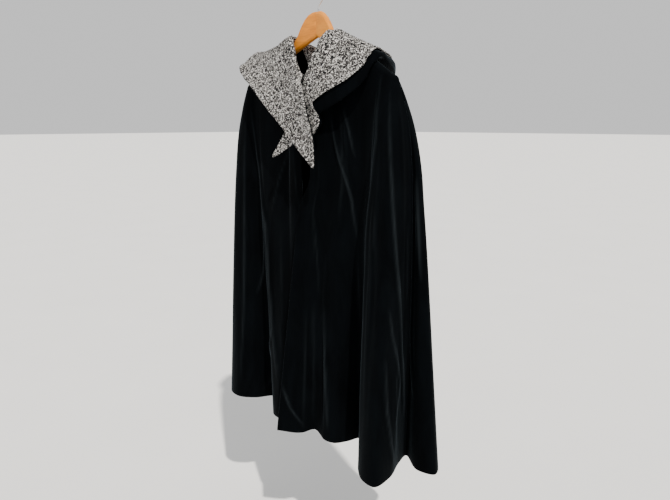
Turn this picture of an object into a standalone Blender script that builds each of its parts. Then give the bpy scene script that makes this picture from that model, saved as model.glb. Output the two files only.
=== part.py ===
"""Hooded cape hanging on a wooden hanger, in metres, +Z up.

The origin is the inner top of the hanger's hook. The front faces -Y and the wearer's
left is +X. Every cloth piece is a closed wall. The cape is one surface that falls from
the neckline and from the hanger's arms to the hem, cut into three panels at the side
seams. Its folds are the rows of FALL_LINES. The hood lies turned down round the neck,
and the rows of HOOD_SECTIONS run from one pointed end round the back to the other.
"""

import math

import bmesh
import bpy
import numpy as np
from mathutils import Vector
from mathutils.bvhtree import BVHTree

# Sizes of the cloth
CLOTH = 0.0024                 # thickness of one cloth wall
TWEED = 0.0028                 # thickness of the hood's lining
SEAM_GAP = 0.0003              # space between pieces that meet
SEAM_PULL = 0.00025            # how far a panel's side edge stands back from its seam
LAYER_GAP = 0.0008             # between the two layers of the hood
NECK_HALF_WIDTH = 0.068        # from the middle to where the neckline crosses the arm
NECK_FRONT = 0.042             # how far the neckline stands in front of the arms
NECK_BACK = 0.040              # and behind them
NECK_FRONT_DROP = 0.090        # how far it dips at the front below the shoulder
NECK_BACK_DROP = 0.030
NECK_ROLL = 0.0035             # radius at which the cape's neck edge turns in
NECK_CLEAR = 0.0030            # the neckline starts to sink this far past the arm
SHOULDER_BOW_LENGTH = 0.100    # height over which the cloth bows out below a shoulder
FALL_POWER = 1.05              # above 1, a fold opens faster near the hem

# Sizes of the hanger
ARM_HALF_THICKNESS = 0.0070
ARM_END = 0.2200               # from the middle to the end of the arm
ARM_SWEEP = 0.0125             # how far forward the arms swing in all
ARM_SWEEP_REACH = 0.050        # distance out over which they do most of it
ARM_SIDE_GAP = 0.0012          # between the arm's faces and the cloth
ARM_TOP_GAP = 0.0006           # between the arm's top and the cloth that rests on it
HOOK_RADIUS = 0.0219           # of the wire's middle line
HOOK_CENTRE_Z = -0.0200
WIRE_RADIUS = 0.0019
HUMP_Z = -0.0610

# Outline of one arm: distance from the middle, top edge, lower edge
ARM_OUTLINE = (
    (0.0000, -0.0610, -0.1130),
    (0.0120, -0.0618, -0.1188),
    (0.0280, -0.0715, -0.1267),
    (0.0420, -0.0895, -0.1337),
    (0.0520, -0.1070, -0.1387),
    (0.0620, -0.1190, -0.1437),
    (0.0800, -0.1280, -0.1530),
    (0.1200, -0.1460, -0.1745),
    (0.1600, -0.1690, -0.1985),
    (0.2000, -0.1950, -0.2215),
    (0.2200, -0.2090, -0.2310),
)

# Folds of the cape, from the left front edge round the back to the right front edge:
# name, x of the top end, way the cloth leaves the arm (degrees from the front, through
# the left side), bow below the shoulder, hem x, hem y, hem z. Only the lines that fan
# from the end of an arm turn away from straight front or straight back.
FALL_LINES = (
    ("left_front_edge", 0.020, 0, 0.000, -0.022, -0.120, -0.983),
    ("left_front_flat", 0.034, 0, 0.004, 0.026, -0.084, -0.985),
    ("left_front_dip", 0.050, 0, 0.006, 0.048, -0.066, -0.976),
    ("left_centre_rise", 0.0625, 0, 0.008, 0.070, -0.069, -0.982),
    ("left_centre_ridge", 0.068, 0, 0.009, 0.080, -0.072, -0.985),
    ("left_centre_slope", 0.086, 0, 0.010, 0.104, -0.066, -0.988),
    ("left_valley_mouth", 0.112, 0, 0.011, 0.123, -0.038, -0.988),
    ("left_valley", 0.146, 0, 0.012, 0.132, -0.006, -0.990),
    ("left_valley_wall", 0.174, 0, 0.018, 0.160, -0.030, -0.996),
    ("left_lobe_start", 0.194, 0, 0.026, 0.198, -0.088, -1.003),
    ("left_lobe_turn", 0.206, 6, 0.034, 0.230, -0.111, -1.004),
    ("left_lobe_ridge", 0.2120, 32, 0.040, 0.262, -0.113, -1.004),
    ("left_lobe_side", 0.2140, 60, 0.044, 0.266, -0.068, -1.003),
    ("left_lobe_end", 0.2148, 80, 0.046, 0.247, -0.010, -1.001),
    ("left_side_seam", 0.2154, 92, 0.046, 0.241, 0.020, -1.000),
    ("left_rear_lobe_start", 0.2148, 103, 0.046, 0.292, -0.006, -1.002),
    ("left_rear_lobe_ridge", 0.2140, 120, 0.044, 0.326, 0.006, -1.003),
    ("left_rear_lobe_end", 0.2120, 148, 0.038, 0.305, 0.048, -1.003),
    ("left_back_valley", 0.205, 174, 0.030, 0.252, 0.058, -1.000),
    ("left_back_wall", 0.190, 180, 0.024, 0.216, 0.064, -0.998),
    ("left_back_ridge", 0.162, 180, 0.018, 0.195, 0.112, -0.998),
    ("left_back_slope", 0.138, 180, 0.016, 0.160, 0.122, -0.996),
    ("back_valley_a", 0.112, 180, 0.014, 0.128, 0.080, -0.995),
    ("back_ridge_a", 0.090, 180, 0.012, 0.090, 0.112, -0.995),
    ("back_slope_a", 0.068, 180, 0.012, 0.054, 0.128, -0.994),
    ("back_neck_a", 0.0625, 180, 0.012, 0.040, 0.114, -0.994),
    ("back_valley_b", 0.042, 180, 0.012, 0.020, 0.088, -0.993),
    ("back_floor_b", 0.014, 180, 0.012, -0.014, 0.086, -0.993),
    ("back_ridge_c", -0.016, 180, 0.012, -0.050, 0.126, -0.994),
    ("back_slope_c", -0.044, 180, 0.012, -0.084, 0.122, -0.995),
    ("back_neck_d", -0.0625, 180, 0.012, -0.104, 0.094, -0.995),
    ("back_valley_d", -0.068, 180, 0.012, -0.116, 0.078, -0.995),
    ("back_ridge_e", -0.112, 180, 0.014, -0.158, 0.112, -0.996),
    ("right_back_slope", -0.146, 180, 0.016, -0.194, 0.114, -0.996),
    ("right_back_valley", -0.176, 180, 0.021, -0.226, 0.062, -0.996),
    ("right_rear_lobe_start", -0.203, 186, 0.027, -0.272, 0.070, -0.996),
    ("right_rear_lobe_ridge", -0.2125, 222, 0.030, -0.310, 0.044, -0.994),
    ("right_side_seam", -0.2154, 266, 0.030, -0.276, 0.008, -0.990),
    ("right_outline_start", -0.2145, 290, 0.030, -0.298, -0.026, -0.987),
    ("right_outline_ridge", -0.2125, 322, 0.029, -0.274, -0.060, -0.985),
    ("right_front_ridge", -0.205, 354, 0.027, -0.232, -0.068, -0.985),
    ("right_front_slope", -0.196, 360, 0.024, -0.194, -0.044, -0.985),
    ("right_front_valley", -0.186, 360, 0.020, -0.166, -0.004, -0.985),
    ("right_valley_wall", -0.172, 360, 0.017, -0.124, -0.036, -0.984),
    ("right_inner_ridge", -0.148, 360, 0.014, -0.084, -0.076, -0.982),
    ("right_inner_slope", -0.100, 360, 0.010, -0.046, -0.082, -0.980),
    ("right_front_flat", -0.068, 360, 0.008, -0.020, -0.078, -0.979),
    ("right_front_lean", -0.0625, 360, 0.007, -0.010, -0.074, -0.978),
    ("right_front_fold", -0.044, 360, 0.005, 0.004, -0.067, -0.977),
    ("right_front_edge", -0.014, 360, 0.002, 0.028, -0.052, -0.975),
)

# How far the left front edge is drawn aside below the crossed ends: z, distance
EDGE_PULL = (
    (-0.200, 0.000),
    (-0.270, 0.006),
    (-0.340, 0.019),
    (-0.400, 0.027),
    (-0.425, 0.022),
    (-0.445, 0.010),
    (-0.470, 0.002),
    (-0.500, 0.000),
    (-1.100, 0.000),
)
EDGE_PULL_REACH = 0.085        # width of cloth that follows the drawn edge
SEAM_REACH = 0.004             # cloth looked at past a seam, so that both sides lean alike

# Sections of the hood from the right end to the left end: name, the inner edge or neck
# fold (x, y, z), the rim (x, y, z), crown of the cloth between them (below 0 it hangs as
# the pouch), 1 where it is sewn to the neckline and 0 where it hangs free, how far the
# outside rolls out past the rim and down, and its puff below
HOOD_SECTIONS = (
    ("right_tip", 0.0770, -0.095, -0.3765, 0.0735, -0.095, -0.3790, 0.000, 0, 0.000, 0.000, 0.000),
    ("right_point", 0.077, -0.096, -0.344, 0.036, -0.093, -0.349, 0.003, 0, 0.000, 0.000, 0.000),
    ("right_cross", 0.070, -0.096, -0.307, -0.018, -0.089, -0.303, 0.005, 0, 0.000, 0.000, 0.000),
    ("right_lapel", 0.051, -0.092, -0.263, -0.083, -0.082, -0.255, 0.006, 0, 0.000, 0.002, 0.002),
    ("right_breast", 0.034, -0.082, -0.222, -0.124, -0.076, -0.224, 0.007, 0.1, 0.000, 0.006, 0.003),
    ("right_throat", 0.018, -0.064, -0.184, -0.163, -0.067, -0.196, 0.008, 0.5, 0.001, 0.010, 0.003),
    ("right_collar", -0.010, -0.048, -0.154, -0.200, -0.055, -0.176, 0.006, 0.9, 0.002, 0.012, 0.003),
    ("right_neck", -0.042, -0.030, -0.122, -0.222, -0.036, -0.158, 0.006, 1, 0.002, 0.014, 0.002),
    ("right_neck_top", -0.0545, -0.0215, -0.1090, -0.229, -0.020, -0.1525, 0.005, 1, 0.002, 0.015, 0.002),
    ("right_shoulder", -0.061, -0.011, -0.1065, -0.235, -0.006, -0.144, 0.002, 1, 0.003, 0.016, 0.002),
    ("right_curl", -0.0615, 0.002, -0.1090, -0.234, 0.020, -0.125, -0.014, 1, 0.004, 0.018, 0.003),
    ("right_hollow", -0.060, 0.014, -0.114, -0.222, 0.046, -0.121, -0.030, 1, 0.006, 0.020, 0.004),
    ("right_pouch", -0.038, 0.032, -0.130, -0.150, 0.105, -0.130, -0.070, 1, 0.010, 0.030, 0.006),
    ("back_pouch", 0.000, 0.039, -0.138, 0.000, 0.138, -0.150, -0.100, 1, 0.012, 0.034, 0.008),
    ("left_pouch", 0.038, 0.032, -0.130, 0.112, 0.101, -0.158, -0.070, 1, 0.010, 0.033, 0.006),
    ("left_hollow", 0.060, 0.012, -0.114, 0.160, 0.033, -0.153, -0.014, 1, 0.013, 0.026, 0.003),
    ("left_shoulder", 0.0595, -0.011, -0.1060, 0.165, -0.010, -0.149, 0.003, 1, 0.018, 0.025, 0.001),
    ("left_neck_top", 0.054, -0.024, -0.1115, 0.1645, -0.026, -0.163, 0.005, 1, 0.011, 0.031, 0.002),
    ("left_neck", 0.041, -0.0350, -0.128, 0.163, -0.042, -0.179, 0.006, 1, 0.007, 0.035, 0.003),
    ("left_collar", 0.028, -0.056, -0.159, 0.130, -0.060, -0.208, 0.006, 0.9, 0.005, 0.037, 0.005),
    ("left_throat", 0.021, -0.066, -0.191, 0.088, -0.072, -0.229, 0.005, 0.4, 0.004, 0.038, 0.007),
    ("left_breast", 0.017, -0.071, -0.226, 0.056, -0.078, -0.252, 0.003, 0.1, 0.006, 0.026, 0.005),
    ("left_turn", -0.004, -0.078, -0.264, 0.078, -0.080, -0.284, 0.003, 0, 0.003, 0.008, 0.001),
    ("left_loop", -0.014, -0.080, -0.294, 0.064, -0.081, -0.311, 0.003, 0, 0.000, 0.002, 0.000),
    ("left_point", -0.024, -0.083, -0.316, 0.004, -0.083, -0.334, 0.002, 0, 0.000, 0.000, 0.000),
    ("left_tip", -0.0575, -0.086, -0.3605, -0.0545, -0.086, -0.3635, 0.000, 0, 0.000, 0.000, 0.000),
)
FOLD_WIDTH = 0.006             # half the width of the roll at the neck fold
FOLD_LEAN = 0.0030             # how far its inner side bulges into the neck
STAND_START = 0.012            # the tweed reaches down inside the neck from here back
STAND_DEPTH = 0.072            # and as far as this
STAND_LEAN = 0.37              # leaning in by this share of it
# Share of the roll, outward and down, that each row of the outside takes
ROLL_SHARES = (
    (0, 0), (0, 0), (0, 0), (0, 0), (0, 0.05), (0.05, 0.15), (0.15, 0.32),
    (0.35, 0.58), (0.70, 0.90), (1.00, 0.80), (0.85, 0.30), (0, 0),
)
ROLL_ROWS = len(ROLL_SHARES)

# Fineness of the walls
COLUMNS_PER_FALL = 3
COLUMNS_PER_SECTION = 3
FALL_ROWS = (0.0, 0.04, 0.10, 0.17, 0.25, 0.34, 0.44, 0.55, 0.66, 0.77, 0.88, 1.0)
ARC_ROWS = (0.0, 20.0, 45.0, 70.0, 90.0)   # degrees round the top of the arm
HOOD_ROWS = 10
HOOD_ROOM = 0.0030             # space under the hood's cloth where it lies on the cape
HIDDEN_ROWS = 3                # rows of the lining at the neck that have no velvet under them
LAP_GAP = 0.0006               # least space where the hood's cloth laps the cape
BESIDE_LIMIT = 0.0005          # a point farther than this beside an edge, with a share of
BESIDE_SHARE = 0.5             # its distance from it, is clear of it
CLEARING_ROUNDS = 4
SPREAD_ROUNDS = 3              # how far a move that clears one place is shared around it
NECK_ROWS = 2                  # rows of the lining inside the neck, which may touch the cape
# Places looked at in each cell of a wall: share along the rows, share along the columns
CELL_SAMPLES = tuple((u / 2, v / 2) for u in range(3) for v in range(3))


def clear_scene():
    """Remove the objects that a new file starts with."""
    for old in list(bpy.data.objects):
        bpy.data.objects.remove(old, do_unlink=True)


def material(name, colour, roughness, metallic=0.0):
    """A plain Principled material."""
    mat = bpy.data.materials.new(name)
    mat.use_nodes = True
    shader = mat.node_tree.nodes["Principled BSDF"]
    shader.inputs["Base Color"].default_value = (*colour, 1.0)
    shader.inputs["Roughness"].default_value = roughness
    shader.inputs["Metallic"].default_value = metallic
    return mat


def spline(knots, values, at):
    """Smooth curve through values at increasing knots, read at the places in at."""
    knots = np.asarray(knots, float)
    values = np.asarray(values, float)
    at = np.asarray(at, float)
    flat = values.reshape(len(knots), -1)
    steps = np.diff(knots)
    rises = np.diff(flat, axis=0) / steps[:, None]
    slopes = np.empty_like(flat)
    slopes[0] = rises[0]
    slopes[-1] = rises[-1]
    before = steps[:-1, None]
    after = steps[1:, None]
    slopes[1:-1] = (rises[:-1] * after + rises[1:] * before) / (before + after)
    left = np.clip(np.searchsorted(knots, at, side="right") - 1, 0, len(knots) - 2)
    width = steps[left][:, None]
    t = ((at - knots[left]) / steps[left])[:, None]
    result = (
        flat[left] * (1 + 2 * t) * (1 - t) ** 2
        + slopes[left] * width * t * (1 - t) ** 2
        + flat[left + 1] * t ** 2 * (3 - 2 * t)
        + slopes[left + 1] * width * t ** 2 * (t - 1)
    )
    return result.reshape((len(at),) + values.shape[1:])


def between(knots, steps):
    """The knots with evenly spaced places put in between them."""
    inner = [np.linspace(a, b, steps, endpoint=False) for a, b in zip(knots[:-1], knots[1:])]
    return np.concatenate(inner + [[knots[-1]]])


def table_columns(table):
    """The numbers of a table whose rows start with a name."""
    return np.array([row[1:] for row in table], float)


def row_number(table, name):
    """The place of the named row."""
    return [row[0] for row in table].index(name)


def arm_y(x):
    """Middle plane of the hanger's arms, which swing forward."""
    return -ARM_SWEEP * (1 - np.exp(-np.abs(x) / ARM_SWEEP_REACH))


def arm_edges(x):
    """Top and lower edge of an arm at the distance x from the middle."""
    outline = np.array(ARM_OUTLINE)
    edges = spline(outline[:, 0], outline[:, 1:], np.abs(np.atleast_1d(x)))
    return edges[:, 0], edges[:, 1]


def arm_slope(x):
    """How steeply the top of an arm falls, at the distance x from the middle."""
    step = 0.002
    return (arm_edges(np.abs(x) + step)[0] - arm_edges(np.abs(x) - step)[0]) / (2 * step)


def neck_dip(x):
    """1 at the middle of the neckline and 0 from where it crosses the arm."""
    return np.sqrt(1 - np.clip(np.abs(x) / NECK_HALF_WIDTH, 0, 1) ** 2)


def cape_tops(x, is_back):
    """Where the cape's fall lines start, and the radius at which the cloth turns down."""
    stand, drop = (NECK_BACK, NECK_BACK_DROP) if is_back else (NECK_FRONT, NECK_FRONT_DROP)
    dip = neck_dip(x)
    arm_radius = ARM_HALF_THICKNESS + ARM_SIDE_GAP + CLOTH
    past_arm = (arm_radius + NECK_CLEAR) / stand
    sunk = (np.clip(dip - past_arm, 0, None) / (1 - past_arm)) ** 1.3
    outer = np.maximum(np.abs(x), NECK_HALF_WIDTH * math.sqrt(1 - past_arm ** 2))
    lift = CLOTH * np.sqrt(1 + arm_slope(outer) ** 2) + ARM_TOP_GAP
    y = arm_y(x) + dip * (stand if is_back else -stand)
    z = arm_edges(outer)[0] + lift - drop * sunk
    radius = np.maximum(arm_radius - stand * dip, NECK_ROLL)
    return np.stack([x, y, z], axis=-1), radius


def fall_line_places():
    """Distance of each fall line along the hem, from the left front edge."""
    hem = table_columns(FALL_LINES)[:, 3:5]
    return np.concatenate([[0], np.cumsum(np.hypot(*np.diff(hem, axis=0).T))])


def cape_grid(places, is_back):
    """Outside points and normals of the cape, one column for each place on the hem."""
    values = spline(fall_line_places(), table_columns(FALL_LINES), places)
    top_x, turn, bow, hem = values[:, 0], np.radians(values[:, 1]), values[:, 2], values[:, 3:6]
    tops, radius = cape_tops(top_x, is_back)
    away = np.stack([np.sin(turn), -np.cos(turn)], axis=-1)
    rows = []
    leans = []
    on_arm = np.abs(top_x) > NECK_HALF_WIDTH
    ridge_lean = np.where(on_arm, -arm_slope(np.abs(top_x)) * np.sign(top_x), 0.0)
    for degrees in ARC_ROWS:
        angle = math.radians(degrees)
        flat = tops[:, :2] + away * (radius * math.sin(angle))[:, None]
        height = tops[:, 2] - radius * (1 - math.cos(angle))
        rows.append(np.column_stack([flat, height]))
        lean = np.column_stack([away * math.sin(angle), np.full(len(top_x), math.cos(angle))])
        lean[:, 0] += ridge_lean * math.cos(angle)
        leans.append(lean / np.linalg.norm(lean, axis=1, keepdims=True))
    rows[0][:, 1] += SEAM_GAP / 2 if is_back else -SEAM_GAP / 2
    start = rows[-1]
    for part in FALL_ROWS[1:]:
        height = start[:, 2] + (hem[:, 2] - start[:, 2]) * part
        fallen = start[:, 2] - height
        bowed = bow * (1 - np.exp(-fallen / SHOULDER_BOW_LENGTH))
        opened = part ** FALL_POWER
        flat = start[:, :2] + away * bowed[:, None]
        flat = flat + (hem[:, :2] - start[:, :2] - away * bow[:, None]) * opened
        rows.append(np.column_stack([flat, height]))
    grid = np.stack(rows)
    if places[0] < fall_line_places()[row_number(FALL_LINES, "left_lobe_start")]:
        grid[:, :, 0] += drawn_aside(grid)
    normals = grid_normals(grid)
    normals[:len(leans) - 1] = leans[:-1]
    normals[len(leans) - 1, on_arm] = leans[-1][on_arm]
    return grid, normals


def drawn_aside(grid):
    """How far each point of the left front follows its edge, which is drawn aside."""
    pull = np.array(EDGE_PULL)
    drawn = np.interp(-grid[:, :, 2], -pull[:, 0], pull[:, 1])
    beside = np.abs(grid[:, :, 0] - grid[:, :1, 0])
    return drawn * np.exp(-beside / EDGE_PULL_REACH)


def grid_normals(grid):
    """Unit normals of a grid, from its neighbours along the rows and columns."""
    down = np.gradient(grid, axis=0)
    across = np.gradient(grid, axis=1)
    normals = np.cross(down, across)
    return normals / np.maximum(np.linalg.norm(normals, axis=2, keepdims=True), 1e-12)


def wall(name, outside, normals, thickness, mat):
    """Closed wall between a grid and the same grid moved in along its normals."""
    inside = outside - normals * thickness
    rows, columns = outside.shape[:2]
    count = rows * columns
    verts = np.concatenate([outside.reshape(-1, 3), inside.reshape(-1, 3)])
    faces = []
    for r in range(rows - 1):
        for c in range(columns - 1):
            a = r * columns + c
            b, d = a + 1, a + columns
            faces.append((a, b, d + 1, d))
            faces.append((a + count, d + count, d + 1 + count, b + count))
    rim = list(range(columns))
    rim += [r * columns + columns - 1 for r in range(1, rows)]
    rim += [(rows - 1) * columns + c for c in range(columns - 2, -1, -1)]
    rim += [r * columns for r in range(rows - 2, 0, -1)]
    for i, a in enumerate(rim):
        b = rim[(i + 1) % len(rim)]
        faces.append((b, a, a + count, b + count))
    return solid(name, verts, faces, mat)


def solid(name, verts, faces, mat):
    """Object from points and faces, turned so that its faces point out."""
    mesh = bpy.data.meshes.new(name)
    mesh.from_pydata([tuple(v) for v in verts], [], faces)
    work = bmesh.new()
    work.from_mesh(mesh)
    bmesh.ops.triangulate(work, faces=work.faces[:])
    if work.calc_volume(signed=True) < 0:
        bmesh.ops.reverse_faces(work, faces=work.faces[:])
    work.to_mesh(mesh)
    work.free()
    mesh.materials.append(mat)
    mesh.shade_smooth()
    mesh.set_sharp_from_angle(angle=math.radians(50))
    obj = bpy.data.objects.new(name, mesh)
    bpy.context.collection.objects.link(obj)
    return obj


def pull_in(grid, amount):
    """Move the side edges of a grid inward, to leave room at a seam."""
    moved = grid.copy()
    for edge, inner in ((0, 1), (-1, -2)):
        step = grid[:, inner] - grid[:, edge]
        moved[:, edge] += step / np.linalg.norm(step, axis=1, keepdims=True) * amount
    return moved


def build_cape(velvet):
    """The three panels, cut from one surface at the side seams. Returns their grids."""
    at = fall_line_places()
    left_seam = row_number(FALL_LINES, "left_side_seam")
    right_seam = row_number(FALL_LINES, "right_side_seam")
    spans = {
        "cape_front_left": (0, left_seam),
        "cape_back": (left_seam, right_seam),
        "cape_front_right": (right_seam, len(at) - 1),
    }
    grids = []
    for name, (first, last) in spans.items():
        places = between(at[first:last + 1], COLUMNS_PER_FALL)
        grid, normals = cape_grid(places, name == "cape_back")
        for edge, seam in ((0, at[first]), (-1, at[last])):
            if at[0] < seam < at[-1]:
                near_seam = [seam - SEAM_REACH, seam, seam + SEAM_REACH]
                normals[:, edge] = cape_grid(near_seam, name == "cape_back")[1][:, 1]
        wall(name, pull_in(grid, SEAM_PULL), normals, CLOTH, velvet)
        grids.append(grid)
    return grids


def hood_table():
    """HOOD_SECTIONS with smooth sections put in between."""
    values = table_columns(HOOD_SECTIONS)
    middle = (values[:, 0:3] + values[:, 3:6]) / 2
    lengths = np.linalg.norm(np.diff(middle, axis=0), axis=1)
    knots = np.concatenate([[0], np.cumsum(lengths)])
    return spline(knots, values, between(knots, COLUMNS_PER_SECTION))


def section_curve(points, count):
    """Smooth curve through the points of a section, evenly divided."""
    lengths = np.linalg.norm(np.diff(points, axis=0), axis=1)
    knots = np.concatenate([[0], np.cumsum(np.maximum(lengths, 1e-6))])
    return spline(knots, points, np.linspace(0, knots[-1], count))


def hood_parts():
    """Neck fold, crown and rim of each section, with its outward way and its numbers."""
    values = hood_table()
    fold, rim, crown = values[:, 0:3], values[:, 3:6], values[:, 6]
    out = rim - fold
    out[:, 2] = 0
    out = out / np.linalg.norm(out, axis=1, keepdims=True)
    middle = (fold + rim) / 2
    up = np.cross(rim - fold, np.gradient(middle, axis=0))
    up = up / np.linalg.norm(up, axis=1, keepdims=True)
    middle = middle + up * np.clip(crown, 0, None)[:, None]
    middle[:, 2] += np.clip(crown, None, 0)
    return fold, middle, rim, out, values


def neck_seam(fold):
    """Point just inside the cape's neckline that faces a point of the neck fold."""
    is_back = fold[1] > arm_y(fold[0])
    stand = NECK_BACK if is_back else NECK_FRONT
    angle = math.atan2(fold[0] / NECK_HALF_WIDTH, abs(fold[1] - arm_y(fold[0])) / stand)
    x = NECK_HALF_WIDTH * math.sin(angle)
    seam = cape_tops(np.array([x]), is_back)[0][0]
    inward = -seam[:2] / np.linalg.norm(seam[:2])
    seam[:2] += inward * (TWEED + 2 * LAP_GAP)
    seam[2] += LAP_GAP
    return seam


def stand_depth(fold):
    """How far the tweed reaches down inside the neck, which it does behind the hanger."""
    past_arm = fold[1] - arm_y(fold[0]) - STAND_START
    return STAND_DEPTH * min(max(past_arm / STAND_START, 0), 1)


def lining_grid(rows):
    """Outside of the tweed, from the neck seam over the fold to the rim."""
    fold, middle, rim, out, values = hood_parts()
    grid = np.zeros((rows, len(fold), 3))
    for c in range(len(fold)):
        free = section_curve(np.array([fold[c], middle[c], rim[c]]), rows)
        seam = neck_seam(fold[c])
        inner = (fold[c] + seam) / 2
        inward = -fold[c, :2] / np.linalg.norm(fold[c, :2])
        inner[:2] = fold[c, :2] + inward * FOLD_LEAN
        brow = fold[c] + out[c] * FOLD_WIDTH
        sewn = np.zeros((rows, 3))
        depth = stand_depth(fold[c])
        share = depth / STAND_DEPTH
        sewn[0] = seam + np.array([*inward * STAND_LEAN, -1]) * depth
        sewn[1] = inner * (1 - share) + (seam + np.array([0, 0, LAP_GAP])) * share
        sewn[2:] = section_curve(np.array([brow, middle[c], rim[c]]), rows - 2)
        stand = values[c, 7]
        grid[:, c] = free * (1 - stand) + sewn * stand
    return grid


def outer_grid(lining, normals):
    """Outside of the velvet, below the tweed, rolled out past its rim."""
    *_, out, values = hood_parts()
    under = lining - normals * (TWEED + LAYER_GAP + CLOTH)
    last = len(under) - 1
    stand, roll_out, roll_down, puff = (values[:, k][:, None] for k in (7, 8, 9, 10))
    start = HIDDEN_ROWS * np.clip(stand * 2, 0, 1)
    rows = []
    for r, (outward, downward) in enumerate(ROLL_SHARES[:last]):
        place = start + (last - 1 - start) * r / (last - 1)
        row = row_at(under, place)
        row = row - row_at(normals, place) * puff * math.sin(math.pi * r / last)
        row = row + out * roll_out * outward
        row[:, 2:] -= roll_down * downward
        rows.append(row)
    for back, (outward, downward) in zip((0.3, 0.15, 0.0), ROLL_SHARES[last:]):
        row = under[last] + (under[last - 1] - under[last]) * back + out * roll_out * outward
        row[:, 2:] -= roll_down * downward
        rows.append(row)
    return np.stack(rows)


def row_at(grid, place):
    """The points of a grid at a fractional row of each column."""
    low = np.clip(np.floor(place[:, 0]).astype(int), 0, len(grid) - 2)
    columns = np.arange(grid.shape[1])
    part = place - low[:, None]
    return grid[low, columns] * (1 - part) + grid[low + 1, columns] * part


def tree_of(grids):
    """Search tree of the outsides of several grids, with their faces pointing out."""
    verts = []
    faces = []
    for grid in grids:
        rows, columns = grid.shape[:2]
        base = len(verts)
        verts.extend(Vector(point) for point in grid.reshape(-1, 3))
        for r in range(rows - 1):
            for c in range(columns - 1):
                a = base + r * columns + c
                faces.append((a, a + columns, a + columns + 1, a + 1))
    return BVHTree.FromPolygons(verts, faces)


def spread(push):
    """Each move averaged with those of its neighbours."""
    padded = np.pad(push, ((1, 1), (1, 1), (0, 0)), mode="edge")
    along = (padded[:-2] + 2 * padded[1:-1] + padded[2:]) / 4
    return (along[:, :-2] + 2 * along[:, 1:-1] + along[:, 2:]) / 4


def kept_clear(grid, tree, room, face, buried=()):
    """The grid moved so that a face set off it keeps its room from a surface.

    The first row of the columns listed as buried lies inside the neck and is passed over.
    """
    push = np.zeros_like(grid)
    reach = np.zeros(grid.shape[:2])
    for r, c in np.ndindex(grid.shape[0] - 1, grid.shape[1] - 1):
        if r == 0 and (c in buried or c + 1 in buried):
            continue
        corners = face[r:r + 2, c:c + 2]
        for u, v in CELL_SAMPLES:
            across = corners[:, 0] * (1 - v) + corners[:, 1] * v
            point = Vector(across[0] * (1 - u) + across[1] * u)
            near, normal, _, distance = tree.find_nearest(point)
            height = (point - near).dot(normal)
            lack = room[r] - height
            beside = math.sqrt(max(distance ** 2 - height ** 2, 0))
            if lack <= 0 or beside > BESIDE_LIMIT + distance * BESIDE_SHARE:
                continue
            for place in ((r, c), (r + 1, c), (r, c + 1), (r + 1, c + 1)):
                if lack > reach[place]:
                    reach[place] = lack
                    push[place] = np.array(normal) * lack
    for _ in range(SPREAD_ROUNDS):
        wider = spread(push)
        push = np.where(np.linalg.norm(wider, axis=2, keepdims=True) > reach[:, :, None], wider, push)
    return grid + push


def build_hood(velvet, tweed, cape_grids):
    """The two layers of the hood, laid on the cape."""
    cape = tree_of(cape_grids)
    lining = lining_grid(HOOD_ROWS)
    layers = TWEED + LAYER_GAP + CLOTH
    room = [LAP_GAP] * NECK_ROWS + [layers + HOOD_ROOM] * (len(lining) - NECK_ROWS)
    lap = [LAP_GAP] * ROLL_ROWS
    upper = row_number(HOOD_SECTIONS, "right_neck") * COLUMNS_PER_SECTION
    lower = row_number(HOOD_SECTIONS, "left_neck") * COLUMNS_PER_SECTION
    buried = [c for c, fold in enumerate(hood_parts()[0]) if stand_depth(fold) > 0]
    for _ in range(CLEARING_ROUNDS):
        lining = kept_clear(lining, cape, room, lining, buried)
        back = lining + grid_normals(lining) * TWEED
        lining = kept_clear(lining, cape, lap, back, buried)
        end = lining[:, :upper]
        beneath = tree_of([lining[:, lower:][:, ::-1]])
        lining[:, :upper] = kept_clear(end, beneath, [layers + HOOD_ROOM / 2] * len(end), end)
    normals = -grid_normals(lining)
    wall("hood_lining", lining, normals, TWEED, tweed)
    outer = outer_grid(lining, normals)
    tweed_back = tree_of([lining - normals * TWEED])
    for _ in range(CLEARING_ROUNDS):
        outer = kept_clear(outer, cape, lap, outer)
        outer[:, :upper] = kept_clear(outer[:, :upper], beneath, lap, outer[:, :upper])
        inside = outer - grid_normals(outer) * CLOTH
        outer = kept_clear(outer, tweed_back, [SEAM_GAP] * len(outer), inside)
    wall("hood_outer", outer, grid_normals(outer), CLOTH, velvet)


def build_arm(name, side, wood):
    """One arm of the hanger: sections with rounded edges, from the mitre to the end."""
    edge_radius = 0.0065
    distances = np.concatenate([
        np.linspace(SEAM_GAP / 2, ARM_END - edge_radius, 22),
        ARM_END - edge_radius + edge_radius * np.sin(np.radians([30, 55, 75])),
    ])
    rings = []
    for x in distances:
        past = max(0.0, x - (ARM_END - edge_radius)) / edge_radius
        shrink = edge_radius * (1 - math.sqrt(1 - past ** 2))
        top, low = (float(e[0]) for e in arm_edges(x))
        half = ARM_HALF_THICKNESS - shrink
        top, low = top - shrink, low + shrink
        round_by = min(edge_radius, half * 0.98)
        ring = []
        for centre_z, first in ((top - round_by, 0), (low + round_by, 180)):
            for step in range(5):
                angle = math.radians(first + 45 * step)
                lean = half - round_by
                sign = 1 if math.cos(angle) > 0 else -1
                lean = lean * sign if abs(math.cos(angle)) > 1e-6 else 0.0
                ring.append((
                    side * x,
                    float(arm_y(x)) + lean + round_by * math.cos(angle),
                    centre_z + round_by * math.sin(angle),
                ))
        rings.append(ring)
    verts = [point for ring in rings for point in ring]
    size = len(rings[0])
    faces = [tuple(range(size)), tuple(range(len(verts) - size, len(verts)))[::-1]]
    for r in range(len(rings) - 1):
        for i in range(size):
            a, b = r * size + i, r * size + (i + 1) % size
            faces.append((b, a, a + size, b + size))
    return solid(name, verts, faces, wood)


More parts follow.
